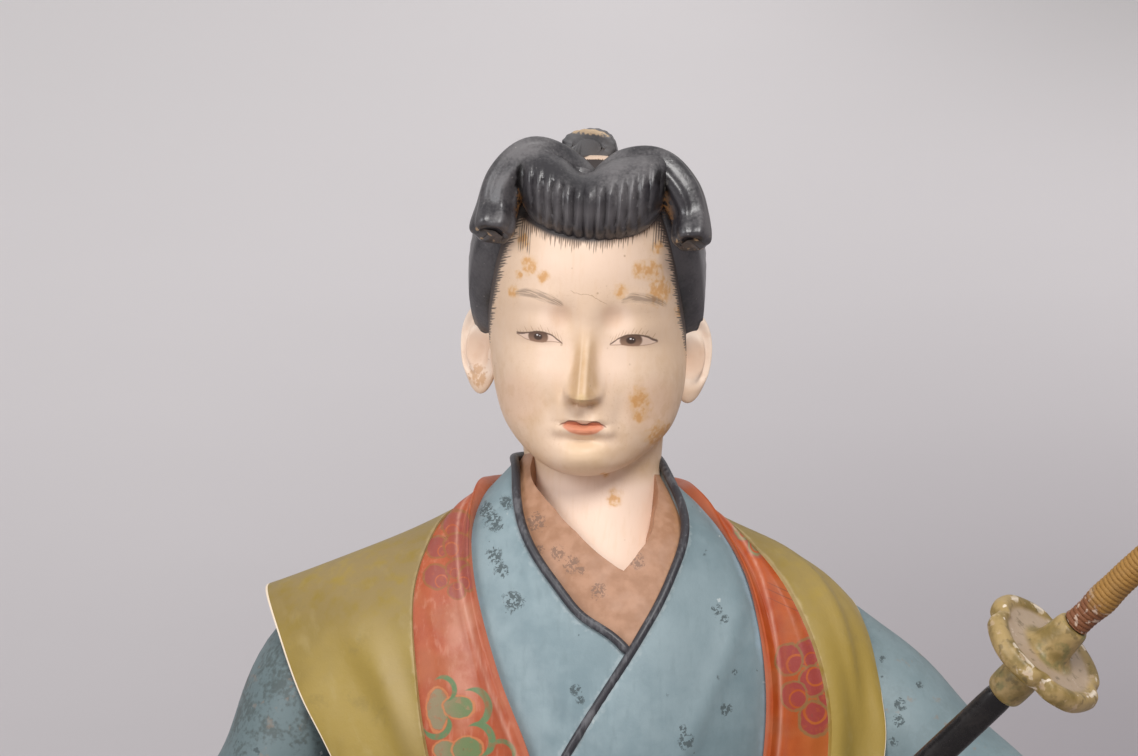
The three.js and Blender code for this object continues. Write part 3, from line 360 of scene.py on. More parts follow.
def face_relief(x, z):
    c = x - FACE_MIDDLE
    side = np.abs(c)
    n = x - NOSE_MIDDLE
    bridge = step(z - 0.16 * n * n, -10.9, -9.3) * (1 - step(z, -9, 2.6))
    nose_width = 1.15 + 0.65 * (1 - step(z, -9, -3))
    nose = 4.5 * bridge * np.exp(-np.abs(n / nose_width) ** 2.3) + 0.5 * oval(n, z, 0, -8.5, 1.5, 1.4)
    wing_side = np.abs(n)
    wings = 1.5 * oval(wing_side, z, 2.1, -9, 0.85, 1.1) - 0.25 * oval(wing_side, z, 3.3, -8.6, 0.5, 1.3)
    nostrils = -0.7 * oval(wing_side, z, 1.1, -10.2, 0.5, 0.35)
    sockets = -1.2 * oval(side, z, 4, 2.6, 2.3, 2.7)
    lids = 0.75 * oval(side, z, 7.3, 1.2, 3.4, 2) + 0.4 * oval(side, z, 8, 5.6, 4.5, 1.8)
    under_eye = -0.2 * oval(side, z, 7.3, -1.3, 3.4, 0.7)
    cheeks = 0.8 * oval(side, z, 8.6, -7, 5, 4.5) - 0.35 * oval(side, z, 5.4, -12, 1.1, 2.6)
    muzzle = 0.8 * oval(c, z, 0, -12.6, 4.6, 3) - 0.25 * oval(c, z, 0, -11.7, 0.6, 0.9)
    lips = 0.5 * oval(side, z, 1.3, -12.8, 1.3, 0.5) + 0.9 * oval(c, z, 0, -14.6, 2.4, 0.7)
    corners = 0.35 * oval(side, z, 4, -14.7, 0.9, 0.8)
    mouth = -0.65 * oval(c, z, 0, -13.6, 3.2, 0.28)
    under_lip = -0.9 * oval(c, z, 0, -16.2, 3.3, 0.75)
    chin = 1.1 * oval(c, z, 0, -18.7, 3.8, 1.9)
    middle = nose + nostrils + muzzle + lips + corners + mouth + under_lip + chin
    return middle + wings + sockets + lids + under_eye + cheeks


def skull():
    def relief(a, z, t):
        x = section_point(SKULL, a, t)[..., 0]
        return np.where(np.cos(a) > 0, face_relief(x, z) * step(np.cos(a), 0, 0.5), 0)

    return stack(SKULL, 132, 150, relief, SKIN, 0.55)


def hair_angle(even, z):
    edge = rad(along(HAIRLINE, share_at(HAIRLINE, z))[..., 1])
    around = np.abs(even)
    quarter = PI / 2
    front = around * edge / quarter
    behind = edge + (around - quarter) * (PI - edge) / quarter
    return np.sign(even) * np.where(around < quarter, front, behind) + HAIR_TURN


HAIR_THICKNESS = 2.9
HAIR_TURN = math.radians(3)
PATCH_HEIGHT = 25.4


def hair_cap():
    def place(even, t):
        z = along(SKULL, t)[..., 0]
        thickness = HAIR_THICKNESS * (0.55 + 0.45 * step(z, -8, 6))
        cover = step(np.abs(even), rad(84), rad(98)) * step(z, -16, -12)
        cover = cover * (1 - step(z, PATCH_HEIGHT - 1, PATCH_HEIGHT + 1))
        combed = 0.07 * np.sin(z * 9 + 4 * np.abs(even)) * step(np.abs(even), rad(100), rad(120))
        return section_point(SKULL, hair_angle(even, z), t, -1.2 + (thickness + 1.2 + combed) * cover)

    return globe(96, 90, place, HAIR)


FRINGE_RIDGES = 15
PARTING = -1.3


def fringe():
    def place(a, t):
        tilt = t * PI
        flat = np.sin(tilt)
        across = np.sin(a)
        x = 12.4 * np.sign(across) * np.abs(across) ** 0.9 * np.sqrt(np.maximum(flat, 0))
        front = step(np.cos(a), 0, 0.4)
        comb = 2 * np.abs(np.cos((x / 24.8) * FRINGE_RIDGES * PI)) ** 0.8 - 1
        ridges = 0.55 * front * flat * comb * (1 - step(t, 0.5, 0.86))
        parting = -1.5 * flat * bump((x - PARTING) / 1.9) * step(t, 0.25, 0.9)
        depth = 8 * flat + ridges + parting * front
        lobes = -2.3 * bump((x - PARTING) / 2.8) * step(t, 0.5, 1)
        z = 20.9 - 6.9 * np.cos(tilt) + 0.03 * x * x + lobes
        return np.stack([x, -11.2 - depth * np.cos(a), z], -1)

    return globe(220, 40, place, HAIR)


LOCK_RIDGES = 6


def lock(turn, high, end, half):
    path = [
        [0, -7.5, 22, 0, 0], [turn * 1, -8.4, 23.4, 2.7, 2.4], [turn * 5, -9.4, 26.4, 3.1, 2.9],
        [turn * 9.8, -10.2, 27.1 + high, 3.5, 3.4], [turn * 13.6, -11.2, 23.8 + high, 3.4, 3.4],
        [turn * (end - 0.5), -12.5, 19.3, half + 0.1, half + 0.1],
        [turn * end, -14.9, 15.7, half, half], [turn * end, -14.98, 15.6, 0, 0],
    ]

    def ridge(a, t):
        return (0.055 * np.cos(a * LOCK_RIDGES) + 0.008 * np.cos(a * 15)) * step(t, 0.15, 0.5)

    return limb(path, (turn, 0, 1), 92, 64, ridge, HAIR)


def topknot():
    path = [
        [0, 17, 18, 0, 0], [0, 15.4, 21, 3.4, 3], [-0.4, 11.5, 26.4, 3.0, 2.6], [-1, 6.5, 29, 3.3, 2.5],
        [-1.5, 0.5, 29.2, 4, 2.6], [-1.6, -1.4, 29.1, 4.1, 2.6], [-1.6, -1.5, 29.1, 0, 0],
    ]
    return limb(path, (1, 0, 0), 64, 48, lambda a, t: 0.02 * np.cos(a * 17) * step(t, 0.1, 0.3), HAIR)


def ear(turn):
    """An ear with a rolled rim, the groove behind it and a bowl."""
    height, depth, thickness, flare = 7.4, 4.2, 1.5, math.radians(50)
    back = vec(turn * math.sin(flare), math.cos(flare), 0)
    out = vec(turn * math.cos(flare), -math.sin(flare), 0)

    def place(a, t):
        flat = np.sin(t * PI)
        e = -np.cos(a) * flat
        n = np.sin(a) * flat * turn
        z = -np.cos(t * PI)
        reach = np.hypot(e, z)
        upper = step(z, -0.75, -0.35) * np.maximum(step(e, -0.35, 0.1), step(z, 0.3, 0.6))
        rim = (0.35 * bump((reach - 0.86) / 0.1) - 0.55 * bump((reach - 0.64) / 0.11)) * upper
        fold = 0.35 * bump((reach - 0.42) / 0.12) * step(e, -0.1, 0.3) * step(z, -0.6, -0.2)
        bowl = 1.4 * oval(e, z, -0.25, -0.05, 0.36, 0.42) + 0.4 * oval(e, z, -0.1, 0.35, 0.4, 0.3)
        flap = 0.5 * oval(e, z, -0.72, -0.1, 0.16, 0.2)
        carved = (rim + fold + flap - bowl) * step(n, 0, 0.4)
        return (
            vec(turn * 16.8 - 1.1, 2.6, -4.3)
            + back * (depth * e * (1 + 0.16 * z))[..., None]
            + out * (thickness * n + carved)[..., None]
            + vec(0, 0, 1) * (height * z + 0 * a)[..., None]
        )

    return globe(96, 80, place, EAR)


def head_forms():
    forms = [skull(), hair_cap(), fringe(), lock(-1, 0.3, 15.5, 3.2), lock(1, -0.5, 16.1, 2.8), topknot()]
    forms += [ball((0, 15.5, -3), (9.5, 8.5, 11), 48, 32, HAIR), ear(-1), ear(1)]
    matrix = np.array(HEAD_TILT.to_matrix())
    return [turned(form, matrix, HEAD_AT) for form in forms]


# The robes, the vest, the sleeves and the trousers.
outer_neckline = table_of(OUTER_NECKLINE)
inner_neckline = table_of(INNER_NECKLINE)


def overlap_step(a, z):
    rising = [[height, angle] for angle, height in OVERLAP][::-1]
    top = rising[-1][0]
    edge = rad(along(rising, share_at(rising, np.minimum(z, top)))[..., 1])
    return 0.8 * step((a - edge) * 24, -0.5, 0.5) * step(np.cos(a), 0, 0.4)


CREASES = [
    # each rises in z: height and angle of a soft fold's crest
    [[98, 17], [105, 22], [112, 26], [120, 31.5], [127.3, 37.7], [134, 44]],
    [[100, 2.5], [107.8, -3.5], [111.6, -8.7], [119.9, -15.8], [126, -20], [132, -23]],
    [[96, -31], [104, -30], [112, -29], [120, -30], [128, -35], [134, -40]],
]


def outer_lift(a, z):
    """How far the blue robe stands out: its left panel lies on top, and soft folds cross the chest."""
    folds = 0 * z
    for rows, height in zip(CREASES, (0.55, -0.4, 0.4)):
        crest = rad(along(rows, share_at(rows, np.clip(z, rows[0][0], rows[-1][0])))[..., 1])
        fade = step(z, 90, 104) * (1 - step(z, rows[-1][0] - 8, rows[-1][0]))
        folds = folds + height * bump((a - crest) / rad(3.4)) * fade
    return overlap_step(a, z) + folds * step(np.cos(a), 0, 0.4)


def robe(sections, neckline, lift, columns, rows, paint):
    wall = 0.9
    inside = vec(0, 0, 112)

    def place(a, t):
        rim = share_at(sections, neckline(a))
        share = rim * np.minimum(t / wall, 1)
        z = along(sections, share)[..., 0]
        outer = section_point(sections, a, share, lift(a, z))
        axis = np.stack([0 * z, 0 * z, z], -1)
        foot = np.clip(1 - t * rows, 0, 1)[..., None]
        lower = outer * (1 - foot) + axis * foot
        turn_in = np.clip((t - wall) / (1 - wall), 0, 1)[..., None]
        return np.where((t <= wall)[..., None], lower, outer * (1 - turn_in) + inside * turn_in)

    return globe(columns, rows, place, paint, 0.45)


PIPING = 0.72


def piping(points, rows):
    angles = rad([p[0] for p in points])
    heights = np.array([p[1] for p in points], float)
    lift = 0.5 + overlap_step(angles - rad(1), heights) * 0.6
    path = section_point(ROBE, angles, share_at(ROBE, heights), lift)
    path = along(path, np.linspace(0, 1, 6 * len(path)))
    smoothing_rounds = 14
    for _ in range(smoothing_rounds):
        path[1:-1] = (path[:-2] + 2 * path[1:-1] + path[2:]) / 4
    rows_of = [[*p, PIPING, PIPING] for p in path[::3]]
    ends = [[*path[0], 0, 0], *rows_of, [*path[-1], 0, 0]]
    return limb(ends, (0, 1, 0.3), 14, rows, None, PIPING_PAINT)


def left_piping():
    return piping([[-188, 150.1], *[p for p in OUTER_NECKLINE if p[0] < 9]], 130)


def right_piping():
    return piping([[184, 150], *[p for p in OUTER_NECKLINE if p[0] > 9][::-1], *OVERLAP], 170)


def seam_with_back(seam, past):
    return seam + [[x + past, y, z] for x, y, z in VEST_BACK]


def vest_thickness(from_seam):
    return 1.5 + 3 * (1 - step(from_seam, 0, 0.5))


def vest_panels():
    """The two halves of the stiff vest. The free edge and a narrow hem beside it are pale."""
    rows = 117

    def folds(u, v):
        return 0.9 * np.sin(u * 7 + 3.7 * v) * bump((v - 0.2) / 0.13)

    def right_lift(u, v):
        ridge = 0.7 * bump((u - 0.66 - 2.4 * (0.295 - v)) / 0.13) * bump((v - 0.26) / 0.08)
        dent = -0.45 * bump((u - 0.42 - 2 * (0.295 - v)) / 0.16) * bump((v - 0.27) / 0.08)
        shoulder = 1.1 * bump((v - 0.41) / 0.1) - 1.3 * bump((v - 0.55) / 0.08)
        return folds(u, v) * 0.5 + shoulder * np.sin(u * PI) + ridge + dent

    def left_lift(u, v):
        ridge = 0.55 * bump((u - 0.42 - 1.1 * (0.36 - v)) / 0.1) * bump((v - 0.34) / 0.11)
        valley = -0.5 * bump((u - 0.64 - 1.1 * (0.36 - v)) / 0.11) * bump((v - 0.34) / 0.11)
        bulge = 2.4 * bump((v - 0.385) / 0.13) + 1.7 * bump((v - 0.66) / 0.08)
        return folds(u, v) + bulge * np.sin(u * PI) + ridge + valley

    def right_thickness(u, v):
        return vest_thickness(1 - u)

    def left_thickness(u, v):
        return vest_thickness(u)

    from_edge = np.concatenate([[0, 0.012, 0.03], np.linspace(0, 1, 23)[1:]])
    right_seam = seam_with_back(RIGHT_SEAM, 0.8)
    left_seam = seam_with_back(LEFT_SEAM, -0.8)
    to_edge = 1 - from_edge[::-1]
    columns = len(from_edge) - 1
    right = sheet(RIGHT_WING, right_seam, rows, right_thickness, right_lift, OLIVE, from_edge)
    left = sheet(left_seam, LEFT_WING, rows, left_thickness, left_lift, OLIVE, to_edge)
    return [pale_edge(right, rows, columns, 0), pale_edge(left, rows, columns, -1)]


def pale_edge(form, rows, columns, side):
    """Makes a sheet's first (0) or last (-1) column pale, and the wall beside it."""
    points, faces, paints = form
    broad = paints[: 2 * rows * columns].reshape(rows, columns, 2)
    broad[:, side, 0] = EDGE
    walls = paints[2 * rows * columns + 2 * columns :].reshape(rows, 2)
    walls[:, side] = EDGE
    return points, faces, paints


def on_robe(rows, lift):
    """Points at rows of angle and height, lifted off the robe."""
    angles, heights = zip(*rows)
    return section_point(ROBE, rad(angles), share_at(ROBE, np.array(heights, float)), lift)


def lapels():
    def rim(share):
        raised = 0.5 + 0.9 * bump((share - 0.1) / 0.08) - 0.25 * bump((share - 0.24) / 0.07)
        return raised - 0.8 * step(share, 0.7, 1)

    def thickness(u, v):
        return 4 + 0 * u

    rows = 110
    inner_edge = 0.9
    right_edge, left_edge = on_robe(RIGHT_LAPEL, inner_edge), on_robe(LEFT_LAPEL, inner_edge)
    return [
        sheet(RIGHT_SEAM, right_edge, rows, thickness, lambda u, v: rim(1 - u), BAND),
        sheet(left_edge, LEFT_SEAM, rows, thickness, lambda u, v: rim(u), BAND),
    ]


def arms():
    def folds(a, t):
        return 0.06 * np.sin(t * 26 + 1.5 * np.cos(a)) * bump((t - 0.55) / 0.25)

    right_arm = [
        [-26, 3, 128, 0, 0], [-30, 2, 124, 11, 12], [-41.9, 1, 116, 11, 13], [-49, 0, 102, 10, 13],
        [-55, -2, 88, 11.5, 12.5], [-54, -12, 74, 11.5, 12], [-48, -24, 61, 10.5, 10.4],
        [-41.5, -33, 52, 9.2, 8.4], [-41, -33.6, 51.4, 0, 0],
    ]
    left_arm = [
        [26, 3, 126, 0, 0], [30, 2, 121, 11, 12], [41, 0.4, 113.6, 11.5, 12], [50.5, -1, 105, 11.5, 13],
        [60.5, -6, 94.4, 11.5, 13], [62, -19, 86.5, 11.5, 12], [51.5, -34, 84.6, 10, 11.6],
        [40.5, -42.4, 85, 8.6, 10], [40.3, -42.5, 85, 0, 0],
    ]
    return [
        limb(right_arm, (1, 0, 0.3), 64, 72, folds, BLUE),
        limb(left_arm, (0.3, 0, 1), 64, 72, folds, BLUE),
    ]


def sleeve_bag(sections, turn, at):
    def folds(a, z, t):
        return 0.9 * np.sin(a * 7) * (1 - step(z, 40, 80))

    c, s = math.cos(turn), math.sin(turn)
    form = stack(sections, 84, 34, folds, BLUE)
    return turned(form, [[c, -s, 0], [s, c, 0], [0, 0, 1]], at)


def sleeve_bags():
    right = [
        [0, 0, 0, 0, 0, 0], [0.2, 13, 22, 20, 0, 0], [14, 14, 24, 21, 0, 0], [34, 14, 23, 19, 0, 0],
        [52, 14, 18, 15, 0, 0], [72, 15, 10, 13, 0, 0], [88, 14, 6, 10, 2, 0], [100, 0, 0, 0, 5, 0],
    ]
    left = [
        [22, 0, 0, 0, 0, 0], [22.2, 23, 10, 18, 0, 0], [40, 23, 11, 19, 0, 0], [60, 20, 11, 19, 0, 0],
        [80, 17, 9, 17, 0, 0], [93, 0, 0, 0, 0, 0],
    ]
    return [
        sleeve_bag(right, math.radians(-16), [-50, -11, 0]),
        sleeve_bag(left, math.radians(47), [43, -16, 0]),
    ]


def seat():
    def relief(a, z, t):
        low = 1 - step(z, 30, 60)
        knees = -5 * bump(a / 0.3) * low
        pleats = 0.9 * np.cos(a * 22) * step(np.cos(a), -0.1, 0.4) * low
        back_folds = 1.2 * np.cos(a * 9) * step(-np.cos(a), 0, 0.5) * low
        return knees + pleats + back_folds

    return stack(SEAT, 264, 44, relief, TROUSERS, 0.2)


def thigh(turn):
    path = [
        [turn * 12, 14, 38, 0, 0], [turn * 14, 8, 38, 14, 13], [turn * 20, -14, 28, 19, 16],
        [turn * 26, -36, 20, 21, 18], [turn * 28.5, -51, 15, 20, 17.5], [turn * 29, -62, 9, 13, 12],
        [turn * 29, -65, 7, 0, 0],
    ]
    return limb(path, (1, 0, 0), 110, 44, lambda a, t: 0.035 * np.cos(a * 9) * step(t, 0.1, 0.3), TROUSERS)


def waist_band():
    band = [
        [58, 0, 0, 0, 0, 0], [58.2, 28.6, 24.2, 26.2, 0, 0], [59.5, 29.2, 24.8, 26.6, 0, 0],
        [66, 29, 24.8, 25.6, 0, 0], [67.4, 28.2, 24, 24.8, 0, 0], [67.6, 0, 0, 0, 0, 0],
    ]
    forms = [stack(band, 90, 20, None, SASH), ball((0, -26, 62.6), (3.4, 2.6, 3.6), 24, 16, SASH)]
    for turn in (-1, 1):
        loop = [
            [0, -26, 63, 0, 0], [turn * 3, -26.6, 63, 2, 1.4], [turn * 8, -26.6, 62, 3.4, 1.7],
            [turn * 11.5, -25.6, 60.4, 2.8, 1.4], [turn * 12.2, -25.4, 60, 0, 0],
        ]
        forms.append(limb(loop, (0, 0, 1), 28, 24, None, SASH))
    board_left = [[-17, 22.4, 60], [-12, 22.6, 77]]
    board_right = [[17, 22.4, 60], [12, 22.6, 77]]
    forms.append(sheet(board_left, board_right, 6, lambda u, v: 4.8 + 0 * u, None, TROUSERS))
    return forms


# The sword's line and the hands on it.
SWORD_FOOT = vec(-12.8, -30.2, 43.2)
HILT_WAY = unit(vec(0.629, -0.4, 0.667))
FIST_UP = 64.5
FIST_AT = SWORD_FOOT + HILT_WAY * FIST_UP


def left_hand():
    wrist = vec(40, -42.6, 85)
    away = wrist - FIST_AT
    away = unit(away - HILT_WAY * (away @ HILT_WAY))
    front = unit(np.cross(HILT_WAY, away))
    if front[1] > 0:
        front = -front

    def ring(angle, radius, up):
        level = FIST_AT + away * (radius * math.cos(angle)) + front * (radius * math.sin(angle))
        return level + HILT_WAY * up

    def arc(start, end, radius, up, thick):
        rows = []
        for s in (0, 0.02, 0.25, 0.5, 0.75, 0.96, 1):
            half = 0 if s in (0, 1) else thick
            rows.append([*ring(math.radians(start + (end - start) * s), radius, up), half, half])
        return limb(rows, HILT_WAY, 22, 30)

    fingers = [arc(10, 215, 4.5, 4.8 - 3.1 * k, 1.8) for k in range(4)]
    thumb = arc(-20, -150, 4.4, 4.6, 1.9)
    palm = [
        [*ring(0, 3.4, 0), 0, 0], [*ring(0, 3.6, 0), 6.6, 3.6], [*ring(0, 8.4, 0), 6.4, 4.4],
        [*ring(0, 13, -0.5), 4.4, 3.6], [*wrist, 4, 3.6], [*(wrist + away), 0, 0],
    ]
    return [limb(palm, HILT_WAY, 30, 26), *fingers, thumb]


def right_hand():
    way = unit(vec(0.62, -0.66, -0.42))
    across = unit(vec(0.73, 0.68, 0))
    palm = [
        [-44, -30, 53, 0, 0], [-42, -33, 51, 5, 3.8], [-37.5, -38, 47.6, 5.4, 3.4],
        [-33.5, -42.4, 44.8, 6.2, 3], [-30.6, -45.6, 42.8, 6, 2.3], [-30.2, -46, 42.6, 0, 0],
    ]

    def finger(sideways, length):
        root = vec(-31.4, -44.8, 43.2) + across * sideways
        rows = []
        for s in (0, 0.03, 0.35, 0.7, 0.93, 1):
            half = 0 if s in (0, 1) else 1.8 - 0.4 * s
            rows.append([*(root + way * (length * s) + vec(0, 0, 1.1 * math.sin(s * PI))), half, half])
        return limb(rows, across, 20, 22)

    fingers = [finger(-4.5 + 3 * k, length) for k, length in enumerate((8.2, 9.8, 10.2, 9))]
    thumb = [
        [-37, -38, 48, 0, 0], [-36, -37.6, 48, 2.2, 2.2], [-31, -36.4, 46.6, 2.1, 2],
        [-26.6, -38.4, 44.2, 1.9, 1.8], [-24.4, -41, 42.4, 1.4, 1.4], [-24, -41.6, 42, 0, 0],
    ]
    return [limb(palm, across, 30, 26), *fingers, limb(thumb, (0, 0, 1), 20, 24)]


def grip_cutter():
    """The scabbard's bore through the left fist."""
    length = 40

    def place(a, t):
        flat = np.where((t <= 0) | (t >= 1), 0.0, 1.0)
        z = (np.clip((t - 0.1) / 0.8, 0, 1) - 0.5) * length
        wide = SCABBARD_WIDTH / 2 + GRIP_CLEARANCE
        thin = SCABBARD_THICKNESS / 2 + GRIP_CLEARANCE
        return np.stack([wide * np.sin(a) * flat, -thin * np.cos(a) * flat, z + 0 * a], -1)

    turn = Vector((0, 0, 1)).rotation_difference(Vector(HILT_WAY)).to_matrix()
    return turned(globe(48, 10, place, SKIN), np.array(turn), FIST_AT)


def floor_cutter():
    """Levels the figure's underside."""
    deep, half = 40.0, 200.0
    corners = [(x, y, z) for z in (-deep, 0.0) for y in (-half, half) for x in (-half, half)]
    faces = [(0, 2, 3, 1), (4, 5, 7, 6), (0, 1, 5, 4), (2, 6, 7, 3), (0, 4, 6, 2), (1, 3, 7, 5)]
    return np.array(corners), faces, np.full(6, CLAY)


# Meshes and objects from the forms.


def new_mesh(name, points, faces, paints):
    """A mesh from points in millimetres."""
    mesh = bpy.data.meshes.new(name)
    mesh.from_pydata((points * MM).tolist(), [], faces)
    for paint in paints:
        mesh.materials.append(paint)
    return mesh


def mesh_of(name, form, paints):
    points, faces, slots = form
    mesh = new_mesh(name, points + FIGURE_FOOT, faces, paints)
    mesh.polygons.foreach_set("material_index", np.asarray(slots, np.int32))
    mesh.update()
    return mesh


def object_of(name, mesh):
    obj = bpy.data.objects.new(name, mesh)
    bpy.context.scene.collection.objects.link(obj)
    return obj


def outer_skin(mesh):
    """Leaves only the largest connected skin of the mesh."""
    count = len(mesh.vertices)
    edges = np.empty(2 * len(mesh.edges), np.int32)
    mesh.edges.foreach_get("vertices", edges)
    edges = edges.reshape(-1, 2)
    label = np.arange(count)
    while True:
        low = np.minimum(label[edges[:, 0]], label[edges[:, 1]])
        before = label.copy()
        np.minimum.at(label, edges[:, 0], low)
        np.minimum.at(label, edges[:, 1], low)
        label = label[label]
        if (label == before).all():
            break
    names, sizes = np.unique(label, return_counts=True)
    keep = label == names[sizes.argmax()]
    if keep.all():
        return
    bm = bmesh.new()
    bm.from_mesh(mesh)
    bm.verts.ensure_lookup_table()
    bmesh.ops.delete(bm, geom=[bm.verts[i] for i in np.nonzero(~keep)[0]], context="VERTS")
    bm.to_mesh(mesh)
    bm.free()


def joined(name, forms, cutters, paints):
    body = object_of(name, mesh_of(name, forms[0], paints))
    helpers = []
    for k, form in enumerate(forms[1:] + cutters):
        helper = object_of("%s_%d" % (name, k), mesh_of("helper", form, paints))
        modifier = body.modifiers.new("join", "BOOLEAN")
        modifier.operation = "UNION" if k < len(forms) - 1 else "DIFFERENCE"
        modifier.solver = "MANIFOLD"
        modifier.object = helper
        helpers.append(helper)
    depsgraph = bpy.context.evaluated_depsgraph_get()
    mesh = bpy.data.meshes.new_from_object(body.evaluated_get(depsgraph))
    body.modifiers.clear()
    body.data = mesh
    for helper in helpers:
        bpy.data.objects.remove(helper)
    outer_skin(mesh)
    mesh.name = name
    return body


def smooth(obj, angle):
    mesh = obj.data
    mesh.polygons.foreach_set("use_smooth", np.ones(len(mesh.polygons), bool))
    mesh.set_sharp_from_angle(angle=math.radians(angle))
    mesh.update()


def stands_for(piece, node):
    """The piece rides the part's only body in the place of a solid."""
    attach(piece, "root")
    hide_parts(node)


def plain_piece(name, node, slot, points, faces, paint, angle):
    piece = object_of(name, new_mesh(name, points, faces, [paint]))
    smooth(piece, angle)
    stands_for(piece, node)
    return piece


def store(mesh, name, values):
    """Keeps a number for each point, which a paint reads by its name."""
    attribute = mesh.attributes.new(name, "FLOAT", "POINT")
    attribute.data.foreach_set("value", values)


# Paint: shader nodes written as arithmetic on fields, which are numbers or colours over a surface.


class Field:
    def __init__(self, paint, socket):
        self.paint = paint
        self.socket = socket

    def __add__(self, other):
        return self.paint.math("ADD", self, other)

    def __sub__(self, other):
        return self.paint.math("SUBTRACT", self, other)

    def __rsub__(self, other):
        return self.paint.math("SUBTRACT", other, self)

    def __mul__(self, other):
        return self.paint.math("MULTIPLY", self, other)

    def __truediv__(self, other):
        return self.paint.math("DIVIDE", self, other)

    def __abs__(self):
        return self.paint.math("ABSOLUTE", self)

    __radd__ = __add__
    __rmul__ = __mul__


class Paint:
    """A material. Places are in millimetres of the figure, unless the paint is asked for another frame."""

    def __init__(self, name, offset=FIGURE_FOOT, specular=0.5, coat=0.0):
        self.material = bpy.data.materials.new(name)
        self.material.use_nodes = True
        self.tree = self.material.node_tree
        self.shader = self.tree.nodes["Principled BSDF"]
        self.shader.inputs["Specular IOR Level"].default_value = specular
        self.shader.inputs["Coat Weight"].default_value = coat
        self.shader.inputs["Coat Roughness"].default_value = 0.22
        coordinates = Field(self, self.tree.nodes.new("ShaderNodeTexCoord").outputs["Object"])
        self.place = self.framed(self.scaled(coordinates, 1000), offset)
        self.x, self.y, self.z = self.parts(self.place)
        self.color = None

    def node(self, kind, inputs, output=0, **settings):
        node = self.tree.nodes.new("ShaderNode" + kind)
        for name, value in settings.items():
            setattr(node, name, value)
        for name, value in inputs.items():
            if isinstance(value, Field):
                self.tree.links.new(value.socket, node.inputs[name])
            elif value is not None:
                node.inputs[name].default_value = value
        return Field(self, node.outputs[output])

    def math(self, operation, a, b=None):
        return self.node("Math", {0: a, 1: b}, operation=operation)

    def maximum(self, a, b):
        return self.math("MAXIMUM", a, b)

    def minimum(self, a, b):
        return self.math("MINIMUM", a, b)

    def cell(self, a):
        return self.math("FLOOR", a)

    def ramp(self, value, low, high, start=0.0, end=1.0):
        """Goes smoothly from start where value is low to end where it is high; low may be the larger."""
        inputs = {"Value": value, "From Min": low, "From Max": high, "To Min": start, "To Max": end}
        return self.node("MapRange", inputs, interpolation_type="SMOOTHSTEP")

    def band(self, value, middle, half, soft):
        return self.ramp(abs(value - middle), half + soft, half - soft)

    def vector(self, x, y, z=0.0):
        return self.node("CombineXYZ", {0: x, 1: y, 2: z})

    def parts(self, vector):
        node = self.tree.nodes.new("ShaderNodeSeparateXYZ")
        self.tree.links.new(vector.socket, node.inputs[0])
        return [Field(self, output) for output in node.outputs]

    def scaled(self, vector, scale):
        return self.node("VectorMath", {0: vector, "Scale": scale}, operation="SCALE")

    def framed(self, vector, origin, turn=(0, 0, 0)):
        """The same place seen from a frame at origin, turned by XYZ angles."""
        inputs = {"Vector": vector, "Location": tuple(origin), "Rotation": tuple(turn)}
        return self.node("Mapping", inputs, vector_type="TEXTURE")

    def noise(self, scale, detail=2.0, place=None, roughness=0.5, distortion=0.0):
        inputs = {"Vector": place or self.place, "Scale": scale, "Detail": detail, "Roughness": roughness}
        return self.node("TexNoise", {**inputs, "Distortion": distortion})

    def waver(self, amount, *noise):
        """Noise about zero, from minus to plus half the amount."""
        return (self.noise(*noise) - 0.5) * amount

    def patches(self, low, high, *noise, **settings):
        return self.ramp(self.noise(*noise, **settings), low, high)

    def brushed(self, x, y, z, detail):
        """Noise drawn out along some axes, at a place of its own."""
        return self.noise(1.0, detail, self.vector(x, y, z))

    def between(self, value, low, full, still_full, high):
        """Rises from low to full and falls from still_full to high."""
        return self.ramp(value, low, full) * self.ramp(value, high, still_full)

    def random(self, number):
        return self.node("TexWhiteNoise", {"W": number}, output="Value", noise_dimensions="1D")

    def cells(self, scale, output="Distance"):
        inputs = {"Vector": self.place, "Scale": scale, "Randomness": 1.0}
        return self.node("TexVoronoi", inputs, output=output)

    def facing_up(self):
        normal = Field(self, self.tree.nodes.new("ShaderNodeNewGeometry").outputs["Normal"])
        return self.parts(normal)[2]

    def attribute(self, name):
        node = self.tree.nodes.new("ShaderNodeAttribute")
        node.attribute_name = name
        return Field(self, node.outputs["Fac"])

    def curve(self, value, points):
        """The height, at a value, of a smooth curve through points with rising first numbers."""
        xs = [p[0] for p in points]
        ys = [p[1] for p in points]
        low, high = min(ys), max(ys)
        node = self.tree.nodes.new("ShaderNodeFloatCurve")
        drawn = node.mapping.curves[0].points
        while len(drawn) < len(points):
            drawn.new(0.5, 0.5)
        for point, x, y in zip(drawn, xs, ys):
            point.location = ((x - xs[0]) / (xs[-1] - xs[0]), (y - low) / (high - low))
        node.mapping.update()
        share = self.node("MapRange", {"Value": value, "From Min": xs[0], "From Max": xs[-1]})
        self.tree.links.new(share.socket, node.inputs["Value"])
        return Field(self, node.outputs[0]) * (high - low) + low

    def mix(self, under, over, share):
        """One colour over another. A colour is three linear shares or a field."""
        node = self.tree.nodes.new("ShaderNodeMix")
        node.data_type = "RGBA"
        node.clamp_factor = True
        factor, first, second = node.inputs[0], node.inputs[6], node.inputs[7]
        for socket, value in ((factor, share), (first, under), (second, over)):
            if isinstance(value, Field):
                self.tree.links.new(value.socket, socket)
            else:
                socket.default_value = value if socket is factor else (*value, 1)
        return Field(self, node.outputs[2])

    def nearest_spot(self, x, z, spots, tall=1.0):
        """The squared distance to the nearest of the spots (x, z, radius), in radii."""
        nearest = None
        for cx, cz, radius in spots:
            across = (x - cx) / radius
            up = (z - cz) / (radius * tall)
            distance = across * across + up * up
            nearest = distance if nearest is None else self.minimum(nearest, distance)
        return nearest

